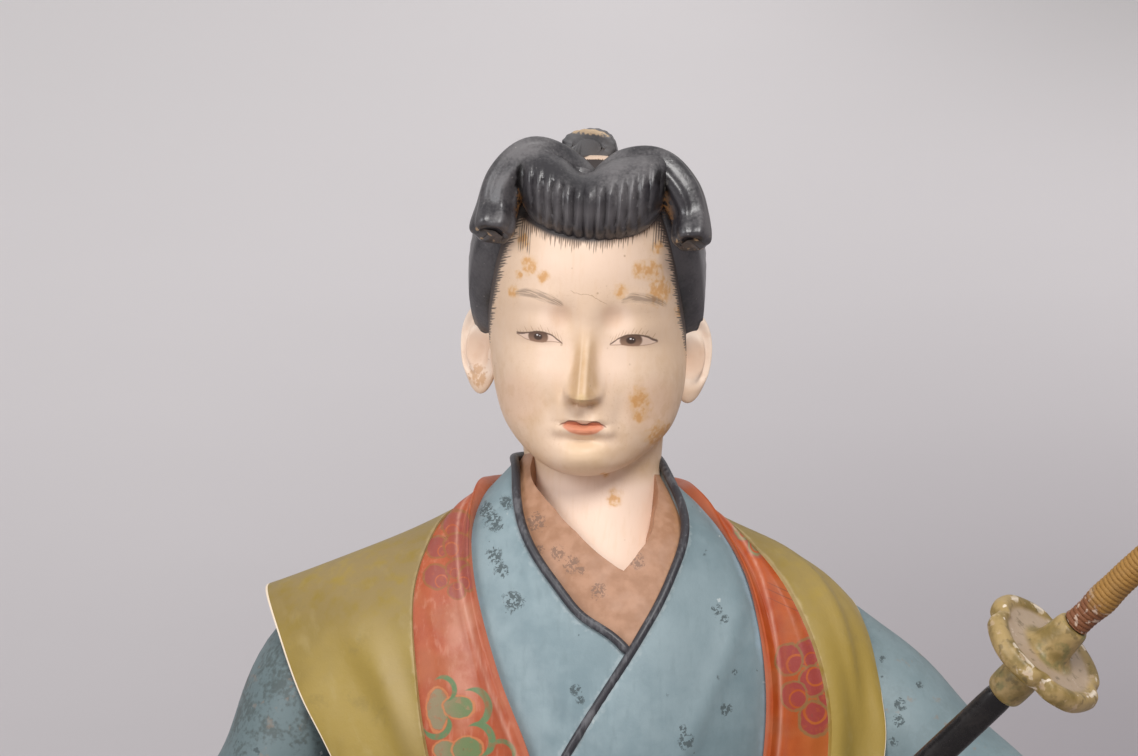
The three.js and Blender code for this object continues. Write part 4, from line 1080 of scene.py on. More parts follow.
    def lay(self, over, share):
        """Lays a colour over the paint's colour so far."""
        self.color = self.mix(self.color, over, share)

    def near(self, x, z, spots, low, high, tall=1.0):
        return self.ramp(self.nearest_spot(x, z, spots, tall), low, high)

    def finish(self, roughness, height=None):
        """height is in millimetres."""
        self.tree.links.new(self.color.socket, self.shader.inputs["Base Color"])
        if isinstance(roughness, Field):
            self.tree.links.new(roughness.socket, self.shader.inputs["Roughness"])
        else:
            self.shader.inputs["Roughness"].default_value = roughness
        if height is not None:
            inputs = {"Strength": 1.0, "Distance": MM, "Height": height}
            relief = self.node("Bump", inputs, output="Normal")
            self.tree.links.new(relief.socket, self.shader.inputs["Normal"])
        return self.material


# Places on the head, in its own frame: x to its left, z up.
EYES = (
    {
        "upper": [
            (-11.2, 0.0), (-10.4, 0.02), (-8.83, 0.33), (-7.35, 0.6), (-5.57, 0.28), (-4.4, -0.45),
            (-3.4, -1.15),
        ],
        "lower": [
            (-11.2, -0.1), (-10.4, -0.4), (-9.16, -0.87), (-7.15, -1.1), (-5.5, -0.88),
            (-4.4, -0.9), (-3.4, -1.15),
        ],
        "iris": (-7.45, -0.22, 1.65),
        "light": (-7.57, 0.06),
    },
    {
        "upper": [
            (3.8, -1.0), (4.6, -0.45), (5.4, 0.1), (7.32, 0.64), (9.3, 0.36), (10.4, -0.2),
            (11.3, -0.62),
        ],
        "lower": [
            (3.8, -1.05), (4.6, -1.0), (5.51, -0.98), (7.51, -1.16), (9.78, -1.03), (10.6, -0.85),
            (11.3, -0.68),
        ],
        "iris": (7.15, -0.25, 1.75),
        "light": (7.1, 0.0),
    },
)
BROWS = (
    {
        "line": [
            (-11.7, 5.9), (-10.9, 6.4), (-9.4, 6.6), (-7.1, 6.3), (-5.3, 5.8), (-4.3, 5.4),
            (-3.4, 4.9),
        ],
        "half": [(-11.7, 0.15), (-10.6, 0.5), (-8.6, 0.72), (-6.2, 0.74), (-4.6, 0.55), (-3.4, 0.2)],
    },
    {
        "line": [(5.3, 5.8), (6.2, 6.2), (7.0, 6.55), (9.1, 6.35), (10.9, 5.75), (12.5, 4.85)],
        "half": [(5.3, 0.2), (6.4, 0.58), (8.2, 0.74), (10.0, 0.7), (11.4, 0.5), (12.5, 0.2)],
    },
)
MOUTH_LINE = [
    (-3.6, -13.95), (-2.6, -13.45), (-1.4, -13.05), (-0.4, -13.35), (0.5, -13.62), (1.3, -13.3),
    (2.2, -13.05), (3.2, -13.5), (4.1, -13.95),
]
LOWER_LIP = [
    (-3.3, -13.85), (-2.4, -14.45), (-1.2, -15.0), (0.4, -15.22), (2.0, -15.0), (3.1, -14.4),
    (3.9, -13.9),
]
CRACK = [(-2.6, 7.5), (-1.2, 7.0), (0.4, 6.9), (1.8, 6.2), (3.4, 5.4)]
FRINGE_FOOT = [
    (-11.5, 19.6), (-10.5, 18.3), (-7.95, 17.1), (-4.6, 16.1), (0.2, 15.7), (4.8, 16.5),
    (8.6, 17.9), (11.0, 19.4), (12.0, 20.4),
]
AMBER_SPOTS = [
    (-9.3, 10.9, 1.2), (-6.9, 9.4, 0.9), (-11.0, 9.2, 0.6), (-10.6, 14.6, 0.9), (8.0, 10.9, 1.1),
    (9.9, 10.6, 1.3), (11.2, 7.4, 1.7), (5.3, 7.5, 0.9), (10.6, 14.2, 0.8), (14.3, 3.9, 0.8),
    (9.0, -9.6, 1.5), (9.0, -12.2, 0.9), (12.2, -16.0, 1.9), (-11.9, 6.4, 0.8), (-17.6, -9.3, 2.0),
    (5.3, -25.9, 1.1), (3.6, -22.0, 0.6),
]


def head_frame(paint):
    return paint.framed(paint.place, HEAD_AT, HEAD_TILT)


def around(paint, x, y):
    """The angle round the head, 0 at the front, in degrees."""
    return paint.math("ARCTAN2", x, 0 - y) * (180 / PI)


def eye_paint(p, x, z, eye):
    left, right = eye["upper"][0][0], eye["upper"][-1][0]
    upper = p.curve(x, eye["upper"])
    lower = p.curve(x, eye["lower"])
    inside_x = p.between(x, left, left + 0.25, right - 0.25, right)
    opening = p.ramp(z - upper, 0.05, -0.06) * p.ramp(z - lower, -0.04, 0.04) * inside_x
    p.lay((0.82, 0.62, 0.50), opening * 0.75)
    cx, cz, radius = eye["iris"]
    across = (x - cx) / radius
    up = (z - cz) / (radius * 0.78)
    from_iris = across * across + up * up
    iris = p.ramp(from_iris, 1.15, 0.8) * opening
    shade = p.ramp(z, cz - 0.8, cz + 0.6)
    p.lay(p.mix((0.31, 0.19, 0.125), (0.15, 0.088, 0.06), shade), iris)
    pupil = p.ramp(from_iris, 0.26, 0.1) * opening
    p.lay((0.045, 0.026, 0.02), pupil * 0.85)
    # painted highlight: two small white glints on each eye
    lx, lz = eye["light"]
    light = p.near(x, z, [(lx, lz, 0.17), (lx + 0.42, lz - 0.1, 0.1)], 1.2, 0.7, 0.8)
    p.lay((0.75, 0.72, 0.7), light)
    waver = p.waver(0.1, 2.0)
    heavy = 0.1 + p.ramp(abs(x), abs(cx) + 1.4, abs(cx) + 3.2, 0.0, 0.07)
    lid = p.ramp(abs(z - upper + waver), heavy + 0.09, heavy - 0.04) * inside_x
    p.lay((0.10, 0.055, 0.035), lid * 0.88)
    lower_line = p.ramp(abs(z - lower + waver), 0.12, 0.03) * inside_x
    p.lay((0.30, 0.16, 0.10), lower_line * 0.62)
    # the lashes, fine strokes that lean outwards
    lean = (z - upper) * (0.5 if cx > 0 else -0.5)
    strand = (x - lean) * 1.9
    number = p.cell(strand)
    along_lash = p.ramp(z - upper, 0.08, 0.2) * p.ramp(z - upper - p.random(number) * 0.9, 0.55, 0.1)
    fine = p.ramp(abs(strand - number - 0.5), 0.15, 0.04)
    p.lay((0.40, 0.23, 0.12), fine * along_lash * inside_x * 0.6)


def brow_paint(p, x, z, brow):
    off = z - p.curve(x, brow["line"])
    half = p.curve(x, brow["half"])
    left, right = brow["line"][0][0], brow["line"][-1][0]
    ends = p.between(x, left, left + 0.5, right - 0.5, right)
    body = p.ramp(abs(off) - half, 0.22, -0.3) * ends
    strokes = p.brushed(x * 0.45, off * 4.5 + x * 0.5, 1.7, 2.0)
    hairs = p.ramp(strokes, 0.44, 0.56) * body
    p.lay((0.36, 0.25, 0.17), body * 0.34)
    p.lay((0.14, 0.10, 0.08), hairs * 0.45)


def strokes_over(p, distance, along_edge, per_mm, reach, ink=(0.05, 0.042, 0.04), share=0.85):
    """Fine brush strokes that run out from a painted edge to between a third and all of reach."""
    strand = along_edge * per_mm
    number = p.cell(strand)
    tip = (p.random(number) * 0.7 + 0.3) * reach
    fine = p.ramp(abs(strand - number - 0.5) + p.ramp(distance, 0, reach, 0, 0.26), 0.5, 0.26)
    out = p.ramp(distance - tip, 0.15, -0.5)
    solid = p.ramp(distance, reach * 0.3, 0.0)
    p.lay(ink, p.maximum(fine * out * share, solid))


def skin_paint():
    p = Paint("painted_skin", specular=0.42)
    x, y, z = p.parts(head_frame(p))
    side = abs(x)
    soft = p.noise(0.11, 3.0)
    mottle = p.noise(0.5, 4.0)
    pale, cream, tan = (0.82, 0.625, 0.495), (0.75, 0.56, 0.41), (0.63, 0.425, 0.25)
    aged = p.ramp(soft + (mottle - 0.5) * 0.35, 0.38, 0.66)
    p.color = p.mix(cream, tan, aged * 0.2)
    blotches = p.ramp(p.noise(0.19, 4.0) + (mottle - 0.5) * 0.5, 0.5, 0.72)
    p.lay(tan, blotches * p.ramp(z, 2, -12, 0.16, 0.42))
    patches = p.patches(0.5, 0.62, 0.34, 5.0, roughness=0.6) * p.ramp(z, 0, -12) * p.ramp(side, 2, 9)
    p.lay((0.58, 0.38, 0.21), patches * 0.42)
    stipple = p.patches(0.56, 0.68, 2.6, 3.0) * p.patches(0.44, 0.6, 0.16)
    p.lay((0.60, 0.40, 0.25), stipple * 0.3)
    forehead = p.ramp(z, 5, 12) * p.ramp(side, 12, 5)
    p.lay(pale, forehead * 0.6)
    edge_of_face = p.ramp(side, 8.5, 15.5) * p.ramp(z, 14, 4)
    jaw = p.ramp(z, -11.5, -19.5) * p.ramp(side, 2.5, 8.5)
    shade = p.maximum(edge_of_face * p.ramp(x, -4, 4, 0.16, 0.3), jaw * 0.6)
    p.lay(tan, shade * p.ramp(mottle, 0.2, 0.62, 0.6, 1.0))
    on_nose = p.between(z, -10.9, -10.1, -4, 3)
    # painted shade: the nose is painted a darker tan, which the highlight below leaves showing on its sides
    nose = p.ramp(abs(x - 0.2), 3.0, 1.4) * on_nose
    p.lay((0.54, 0.34, 0.165), nose * p.ramp(mottle, 0.3, 0.6, 0.6, 0.8))
    # painted highlight: lighter streaks down the nose's ridge
    nose_highlights = p.maximum(p.band(x, -0.35, 0.12, 0.2), p.band(x, 0.65, 0.16, 0.3))
    nose_highlights = nose_highlights * on_nose * p.ramp(z, -10, -8.6)
    p.lay((0.86, 0.66, 0.47), nose_highlights * 0.55)
    tip = p.near(x, z, [(0.2, -9.3, 1.2)], 1.2, 0.3)
    p.lay((0.72, 0.53, 0.28), tip * 0.6)
    # painted shade under the nose
    shade_under_nose = p.ramp(abs(x - 0.2), 3.4, 1.6) * p.ramp(z, -11.6, -10.4) * p.ramp(z, -9.4, -10.2)
    p.lay((0.55, 0.33, 0.18), shade_under_nose * 0.4)
    chin = p.near(x, z, [(0.8, -19.0, 4.2)], 1.2, 0.1)
    p.lay((0.74, 0.52, 0.29), chin * 0.4)
    beside_nose = p.near(side, z, [(4.6, -3.4, 3.4), (5.2, 2.6, 2.6)], 1.3, 0.1, 1.3)
    white = p.maximum(beside_nose * 0.6, p.ramp(z, -21, -25) * p.ramp(y, 30, 4))
    p.lay(pale, white)
    flush = p.near(side, z, [(10.5, -10.5, 4.6)], 1.4, 0.0)
    p.lay((0.76, 0.43, 0.27), flush * 0.2)
    brow_shade = p.near(side, z, [(4.0, 3.4, 1.9)], 1.4, 0.0, 1.1)
    p.lay((0.62, 0.38, 0.23), brow_shade * 0.34)
    brushed = p.brushed(x * 1.6, y * 0.5, z * 0.25, 3.0)
    p.lay((0.70, 0.47, 0.28), p.ramp(brushed, 0.5, 0.72) * 0.16)

    fray = p.noise(1.1, 4.0)
    near_stain = p.nearest_spot(x, z, AMBER_SPOTS, 1.15) + (fray - 0.5) * 4.4
    front = p.ramp(y, 6, 2)
    p.lay((0.66, 0.38, 0.14), p.ramp(near_stain, 2.1, 0.2) * front * 0.5)
    amber = p.ramp(near_stain, 0.9, -0.1) * front
    p.lay((0.58, 0.27, 0.065), amber * 0.62)
    specks = p.ramp(p.cells(0.42), 0.11, 0.05) * p.patches(0.5, 0.6, 0.21)
    p.lay((0.34, 0.2, 0.1), specks * 0.5)
    crack = p.ramp(abs(z - p.curve(x, CRACK) + p.waver(0.5, 1.6)), 0.09, 0.03)
    crack = crack * p.ramp(x, -2.6, -2.2) * p.ramp(x, 3.4, 3.0) * p.ramp(y, 0, -5)
    p.lay((0.42, 0.26, 0.15), crack * 0.6)

    # the strokes under the fringe, in front of the temples and on the two tufts
    front = p.ramp(y, -2, -5)
    foot = p.curve(x, FRINGE_FOOT)
    below = (foot - z) + (1 - front) * 9 + p.ramp(z, 22.6, 23.4) * 9
    brown = p.mix((0.05, 0.04, 0.038), (0.20, 0.13, 0.085), p.ramp(below, 0.1, 1.2))
    strokes_over(p, below, x, 2.9, 2.7, brown, 0.85)
    strokes_over(p, below - 0.2, x * 1.03 + 0.4, 4.1, 1.9, brown, 0.7)
    angle = around(p, x, y) - 3
    edge = p.curve(z, HAIRLINE)
    gap = (edge - abs(angle)) * (PI / 180) * 16
    gap = gap + (1 - p.ramp(z, -14, -10)) * 9
    strokes_over(p, gap, z + side * 0.35, 2.3, 3.6, (0.06, 0.05, 0.046), 0.85)
    strokes_over(p, gap - 0.3, z * 1.07 + side * 0.2, 3.1, 3.0, (0.09, 0.07, 0.06), 0.7)
    for turn, base, low in ((-1, 10.35, 11.7), (1, 10.75, 13.3)):
        off = x * turn - base
        strand = off * 2.6
        number = p.cell(strand)
        length = p.ramp(z - p.random(number + turn * 7) * 1.6, low, low + 1.0)
        length = length * p.ramp(z, low + 5.8, low + 4.8)
        fine = p.ramp(abs(strand - number - 0.5), 0.42, 0.12)
        tuft = fine * length * p.ramp(abs(off), 1.15, 0.8) * front
        p.lay((0.12, 0.085, 0.07), tuft * 0.85)

    for brow in BROWS:
        brow_paint(p, x, z, brow)
    for eye in EYES:
        eye_paint(p, x, z, eye)

    line = p.curve(x, MOUTH_LINE)
    bottom = p.curve(x, LOWER_LIP)
    width = p.between(x, -3.3, -2.5, 3.2, 4.0) * front
    lips = p.ramp(z - line, 0.06, -0.06) * p.ramp(z - bottom, -0.2, 0.2) * width
    upper_lip = p.ramp(line - z, 0.62, 0.25)
    red = p.mix((0.68, 0.235, 0.125), (0.52, 0.15, 0.075), upper_lip)
    p.lay(red, lips * 0.88)
    ends = p.between(x, -3.7, -3.1, 3.7, 4.2) * front
    inked = p.ramp(abs(z - line + p.waver(0.12, 2.0)), 0.18, 0.05) * ends
    p.lay((0.19, 0.07, 0.04), inked * 0.8)

    roughness = 0.36 + mottle * 0.2 + p.maximum(amber, white * 0.4) * 0.15
    height = p.waver(0.03, 0.9, 3.0) + p.waver(0.012, 3.2, 2.0)
    return p.finish(roughness, height)


def ear_paint():
    p = Paint("painted_ears", specular=0.4)
    x, y, z = p.parts(head_frame(p))
    mottle = p.noise(0.5, 4.0)
    p.color = p.mix((0.92, 0.755, 0.615), (0.78, 0.56, 0.40), p.ramp(mottle, 0.45, 0.7) * 0.45)
    bowl = p.near(y, z, [(1.6, -4.4, 2.4)], 1.3, 0.1, 1.4)
    p.lay((0.62, 0.37, 0.22), bowl * 0.5)
    lobe = p.ramp(z + (mottle - 0.5) * 3, -7.5, -10)
    p.lay((0.68, 0.42, 0.22), lobe * 0.45)
    stain = p.ramp(p.nearest_spot(x, z, [(-18.2, -8.6, 1.6)], 1.3) + p.waver(4, 1.2, 4.0), 1.0, 0.1)
    p.lay((0.52, 0.26, 0.09), stain * 0.6)
    specks = p.ramp(p.cells(0.6), 0.12, 0.05) * p.patches(0.5, 0.6, 0.3)
    p.lay((0.34, 0.2, 0.1), specks * 0.5)
    height = p.waver(0.03, 0.9, 3.0)
    return p.finish(0.4 + mottle * 0.15, height)


HAIR_HOLLOWS = [(-11.3, 25.4, 0.85), (-11.5, 23.6, 0.7), (10.6, 25.6, 0.9), (11.4, 23.8, 0.8)]
HAIR_GAPS = [(-11.4, 19.4, 1.3), (-11.2, 22.0, 0.9), (12.2, 20.0, 1.5), (11.8, 22.6, 1.0)]


def hair_paint():
    p = Paint("painted_hair", specular=0.62)
    x, y, z = p.parts(head_frame(p))
    grain = p.noise(2.2, 3.0)
    cloud = p.noise(0.13, 3.0)
    dust = p.ramp(cloud + (grain - 0.5) * 0.3, 0.36, 0.7) * p.ramp(p.facing_up(), -0.6, 0.9, 0.35, 1.0)
    # painted highlight: a grey band across the fringe's ribs at mid-height, laid with the same grey as the
    # dust
    rib_highlight = p.band(z, 19.6, 1.6, 2.4) * p.ramp(y, -15.5, -17.5) * p.ramp(abs(x), 12, 10)
    p.color = p.mix((0.022, 0.020, 0.023), (0.17, 0.16, 0.162), p.maximum(dust * 0.8, rib_highlight * 0.5))
    fine_dust = p.ramp(p.cells(0.9), 0.16, 0.06) * p.ramp(grain, 0.5, 0.62)
    p.lay((0.30, 0.28, 0.26), fine_dust * 0.45)
    # painted shadow where the locks meet the fringe
    junction_shadow = p.ramp(abs(abs(x - 0.2) - 11.5), 0.85, 0.25) * p.ramp(z, 17.5, 19)
    junction_shadow = junction_shadow * p.ramp(z, 27.6, 26.2) * p.ramp(y, -9, -11)
    p.lay((0.006, 0.005, 0.005), junction_shadow * 0.9)
    # painted shadow in the hollows between the locks and the fringe top
    hollow_shadow = p.ramp(p.nearest_spot(x, z, HAIR_HOLLOWS, 1.5) + (grain - 0.5) * 0.8, 1.2, 0.4)
    hollow_shadow = hollow_shadow * p.ramp(y, -8, -10)
    p.lay((0.004, 0.003, 0.003), hollow_shadow * 0.95)
    # amber in the gaps beside the fringe, chips on the topknot's end and on the locks' cut ends
    beside = p.ramp(p.nearest_spot(x, z, HAIR_GAPS, 1.2) + (grain - 0.5) * 5, 0.9, 0.2)
    beside = beside * p.ramp(y, -14.4, -12.6) * p.ramp(y, -6, -9)
    p.lay((0.38, 0.19, 0.07), beside * 0.85)
    bits = p.ramp(p.nearest_spot(x, z, [(10.6, 24.6, 1.3)]) + (grain - 0.5) * 6, 0.7, 0.2)
    bits = bits * p.ramp(y, -15, -13) * p.ramp(y, -6, -9)
    p.lay((0.27, 0.25, 0.21), bits * 0.8)
    knot_end = p.between(y, -1.2, -1.45, -1.9, -2.4) * p.ramp(z, 26.2, 26.8)
    p.lay(p.mix((0.075, 0.072, 0.076), (0.14, 0.135, 0.135), cloud), knot_end * 0.9)
    rim = p.ramp(z + x * 0.04 + (grain - 0.5) * 1.6, 30.9, 31.3)
    rim = rim * p.ramp(y, -0.9, -1.4) * p.ramp(y, -2.6, -2.2)
    p.lay((0.50, 0.36, 0.22), rim * 0.9)
    cut = p.between(z, 16.9, 16.3, 14.6, 14.0) * p.patches(0.6, 0.66, 0.9, 4.0)
    p.lay((0.46, 0.31, 0.17), cut * p.ramp(abs(x), 11.5, 12.5) * p.ramp(y, -11, -12.5) * 0.75)
    roughness = p.ramp(dust, 0, 1, 0.29, 0.5) + knot_end * 0.2
    height = p.waver(0.04, 1.6, 4.0) + (grain - 0.5) * 0.015
    return p.finish(roughness, height)


def blot(p, x, z, spots, fray=1.0):
    """Branching dark marks in and round the spots."""
    fine = p.noise(1.9, 2.0, distortion=0.6)
    veins = p.ramp(abs(fine - 0.5), 0.045, 0.012)
    nearest = p.nearest_spot(x, z, spots)
    core = p.ramp(nearest + (fine - 0.5) * 6, 0.35, 0.05)
    return p.maximum(core, veins * p.ramp(nearest + p.waver(3, 0.9) * fray, 1.15, 0.6))


def scattered(p, scale, size, share):
    """Irregular specks: size and share of the cells that hold one are shares of a cell."""
    distance = p.cells(scale) + p.waver(0.35, scale * 7, 2.0)
    chosen = p.cells(scale, output="Color")
    pick = p.parts(chosen)[0]
    return p.ramp(distance, size, size * 0.55) * p.ramp(pick, share, share - 0.02)


BLUE_BLOTS = [
    (-16.6, 142.4, 1.3), (-15.4, 140.6, 1.5), (-13.4, 143.6, 1.1), (-15.2, 135.4, 1.3),
    (-14.0, 133.4, 1.2), (-12.2, 128.6, 1.7), (-9.6, 137.4, 0.9), (-2.4, 115.2, 0.9),
    (-1.6, 113.6, 0.7), (20.0, 127.2, 0.9), (20.9, 125.8, 0.8), (22.6, 117.6, 0.5), (21.2, 112.0, 1.0),
    (14.4, 109.0, 0.7), (14.8, 107.2, 1.3), (49.0, 111.8, 1.0), (48.7, 109.4, 0.9), (47.8, 106.1, 0.8),
    (52.2, 114.7, 0.6), (46.4, 118.8, 0.5),
]


def blue_paint():
    p = Paint("painted_blue", specular=0.4)
    cloud = p.noise(0.06, 4.0)
    mottle = p.noise(0.35, 4.0)
    lighter = p.ramp(cloud + (mottle - 0.5) * 0.4, 0.35, 0.68)
    p.color = p.mix((0.175, 0.245, 0.27), (0.245, 0.32, 0.345), lighter)
    streak = p.brushed(p.x * 0.5, p.y * 0.5, p.z * 0.08, 3.0)
    p.lay((0.31, 0.40, 0.43), p.ramp(streak, 0.5, 0.78) * 0.25)
    # darker streaks where the blue paint is rubbed
    tone_patch = p.brushed(p.x * 0.9, p.y * 0.6, p.z * 0.22, 4.0)
    p.lay((0.15, 0.21, 0.225), p.ramp(tone_patch, 0.52, 0.74) * 0.28)
    # painted shade: the blue is darker across x from 4 to 38 mm, the figure's left side
    p.lay((0.11, 0.16, 0.175), p.between(p.x, 4, 17, 30, 38) * 0.42)
    sleeve = p.maximum(p.ramp(abs(p.x), 36, 44), p.ramp(p.z, 98, 82))
    p.lay((0.105, 0.145, 0.15), sleeve * p.ramp(p.x, 20, -30, 0.42, 0.86))
    grime = p.ramp(p.noise(0.16, 5.0) + p.waver(0.6, 1.4, 3.0), 0.44, 0.64) * sleeve
    p.lay((0.07, 0.09, 0.088), grime * p.ramp(p.x, 25, -25, 0.14, 0.88))
    rust = p.ramp(p.noise(0.3, 3.0) + p.waver(0.4, 1.1), 0.64, 0.76) * sleeve
    p.lay((0.24, 0.17, 0.12), rust * 0.45)
    front = p.ramp(p.y, -2, -5)
    dark = p.maximum(blot(p, p.x, p.z, BLUE_BLOTS) * front, scattered(p, 0.17, 0.11, 0.5) * 0.9)
    dark = p.maximum(dark, scattered(p, 0.5, 0.1, 0.16) * 0.8)
    p.lay((0.045, 0.06, 0.062), dark * 0.78)
    worn = scattered(p, 0.3, 0.09, 0.25)
    p.lay((0.42, 0.47, 0.47), worn * 0.7)
    gap = p.attribute("band_gap")
    p.lay((0.30, 0.42, 0.50), p.ramp(gap + (mottle - 0.5) * 2, 1.6, 0.4) * 0.6)
    rim = p.attribute("piping_gap")
    p.lay((0.40, 0.46, 0.47), p.ramp(rim + p.waver(2.4, 1.1, 3.0), 1.5, 0.7) * 0.4)
    roughness = 0.42 + mottle * 0.2 + dark * 0.2
    height = p.waver(0.05, 0.7, 4.0) - dark * 0.03 + p.waver(0.012, 3.5, 2.0)
    return p.finish(roughness, height)


INNER_BLOTS = [
    (-8.6, 140.8, 1.6), (-5.2, 136.0, 1.2), (-3.0, 134.2, 1.4), (1.3, 130.2, 1.3),
    (7.4, 134.8, 1.2), (-1.4, 133.4, 0.7), (-8.0, 136.5, 0.8),
]


def inner_paint():
    p = Paint("painted_brown", specular=0.4)
    mottle = p.noise(0.4, 4.0)
    p.color = p.mix((0.34, 0.17, 0.09), (0.44, 0.24, 0.145), p.ramp(mottle, 0.35, 0.68))
    dusty = p.noise(0.16, 3.0)
    p.lay((0.52, 0.33, 0.24), p.ramp(dusty, 0.45, 0.7) * 0.4)
    dark = blot(p, p.x, p.z, INNER_BLOTS)
    p.lay((0.13, 0.08, 0.06), dark * 0.6)
    rim = p.attribute("piping_gap")
    p.lay((0.62, 0.33, 0.16), p.ramp(rim + (p.noise(1.3) - 0.5), 1.7, 0.6) * 0.45)
    p.lay((0.5, 0.36, 0.3), scattered(p, 0.35, 0.12, 0.25) * 0.6)
    roughness = 0.45 + mottle * 0.2
    height = p.waver(0.05, 0.8, 4.0)
    return p.finish(roughness, height)


def piping_paint():
    p = Paint("painted_piping", specular=0.5)
    grain = p.noise(1.6, 4.0)
    streak = p.brushed(p.x * 2.2, p.y * 2.2, p.z * 0.5, 3.0)
    # lighter grey patches and streaks: dust and wear, and painted highlights along the piping
    worn = p.ramp(p.noise(0.22, 3.0) + (streak - 0.5) * 0.7, 0.44, 0.74)
    p.color = p.mix((0.032, 0.031, 0.037), (0.13, 0.13, 0.14), worn * 0.75)
    p.lay((0.26, 0.25, 0.25), p.ramp(streak + (grain - 0.5) * 0.4, 0.7, 0.8) * 0.4)
    return p.finish(p.ramp(worn, 0, 1, 0.4, 0.6), (grain - 0.5) * 0.03)


# The clouds on the bands: petals, each with its middle x and z, half width and height, and its heart's
# middle x and z and radius, and brush commas.
LEFT_CLOUD = [
    (-21.2, 140.2, 2.3, 2.0, -21.9, 139.1, 0.9), (-24.2, 136.8, 1.8, 1.6, -23.3, 136.2, 0.7),
    (-20.9, 137.0, 2.3, 1.9, -22.0, 136.5, 0.9), (-24.3, 132.4, 2.0, 1.8, -23.5, 131.7, 0.8),
    (-20.9, 133.6, 1.9, 1.4, -21.4, 132.9, 0.6), (-19.3, 132.2, 1.5, 1.9, -20.0, 131.4, 0.8),
    (-21.1, 130.2, 1.4, 1.2, -21.0, 131.0, 0.5),
]
RIGHT_CLOUD = [
    (37.2, 114.7, 1.6, 2.8, 37.4, 115.2, 1.1), (34.2, 120.4, 2.0, 2.2, 34.8, 119.3, 1.0),
    (31.2, 119.4, 2.1, 2.4, 32.5, 118.6, 1.35), (34.9, 116.1, 2.1, 2.3, 35.4, 116.8, 1.2),
    (35.2, 110.1, 2.3, 2.7, 35.3, 111.3, 1.5), (31.9, 113.8, 2.0, 2.2, 32.6, 113.3, 1.15),
]
SHOULDER_CLOUD = [(24.4, 139.2, 1.7, 1.5, 24.6, 139.0, 0.7), (26.4, 136.8, 1.5, 1.6, 26.5, 136.9, 0.9)]
LEAVES = [
    (-23.9, 112.2, 1.7, 3.3, -23.9, 112.2, 3.0), (-20.6, 112.5, 2.4, 1.7, -20.4, 112.5, 3.0),
    (-22.6, 105.8, 1.9, 1.6, -22.6, 105.8, 2.0), (-19.2, 106.0, 2.4, 1.9, -19.2, 106.0, 3.0),
]
LEAF_STROKES = [
    (-23.2, 115.2, 1.9, 0.42, 30), (-18.7, 112.5, 2.75, 0.62, 10), (-24.2, 110.0, 2.1, 0.5, 300),
    (-17.9, 107.4, 2.5, 0.6, 20), (-13.9, 105.4, 1.9, 0.4, 60),
]


def cloud(p, x, z, petals, fill, line):
    """Petals with an outline, a crescent and a heart: the band's own colour shows between those two."""
    under = p.color
    waver = p.waver(0.4, 0.6, 2.0)
    for cx, cz, rx, rz, hx, hz, heart in petals:
        across, up = (x - cx) / rx, (z - cz) / rz
        outer = p.math("SQRT", across * across + up * up) + waver
        across, up = (x - hx) / heart, (z - hz) / heart
        inner = p.math("SQRT", across * across + up * up) + waver * 0.6
        p.lay(line, p.ramp(outer, 1.17, 1.07) * 0.85)
        p.lay(fill, p.ramp(outer, 0.98, 0.9))
        p.lay(under, p.ramp(inner, 1.34, 1.26) * p.ramp(outer, 1.0, 0.9))
        p.lay(fill, p.ramp(inner, 1.08, 0.98) * p.ramp(outer, 1.0, 0.9))


def crescents(p, x, z, arcs, ink):
    """Brush commas: parts of rings (middle, radius, width, direction of the thick side in degrees)."""
    for cx, cz, radius, width, way in arcs:
        dx, dz = x - cx, z - cz
        distance = p.math("SQRT", dx * dx + dz * dz)
        lean = (dx * math.cos(math.radians(way)) + dz * math.sin(math.radians(way))) / radius
        half = p.ramp(lean, -0.35, 0.9) * width
        p.lay(ink, p.ramp(abs(distance - radius) - half, 0.12, -0.14) * p.ramp(lean, -0.35, 0.0))


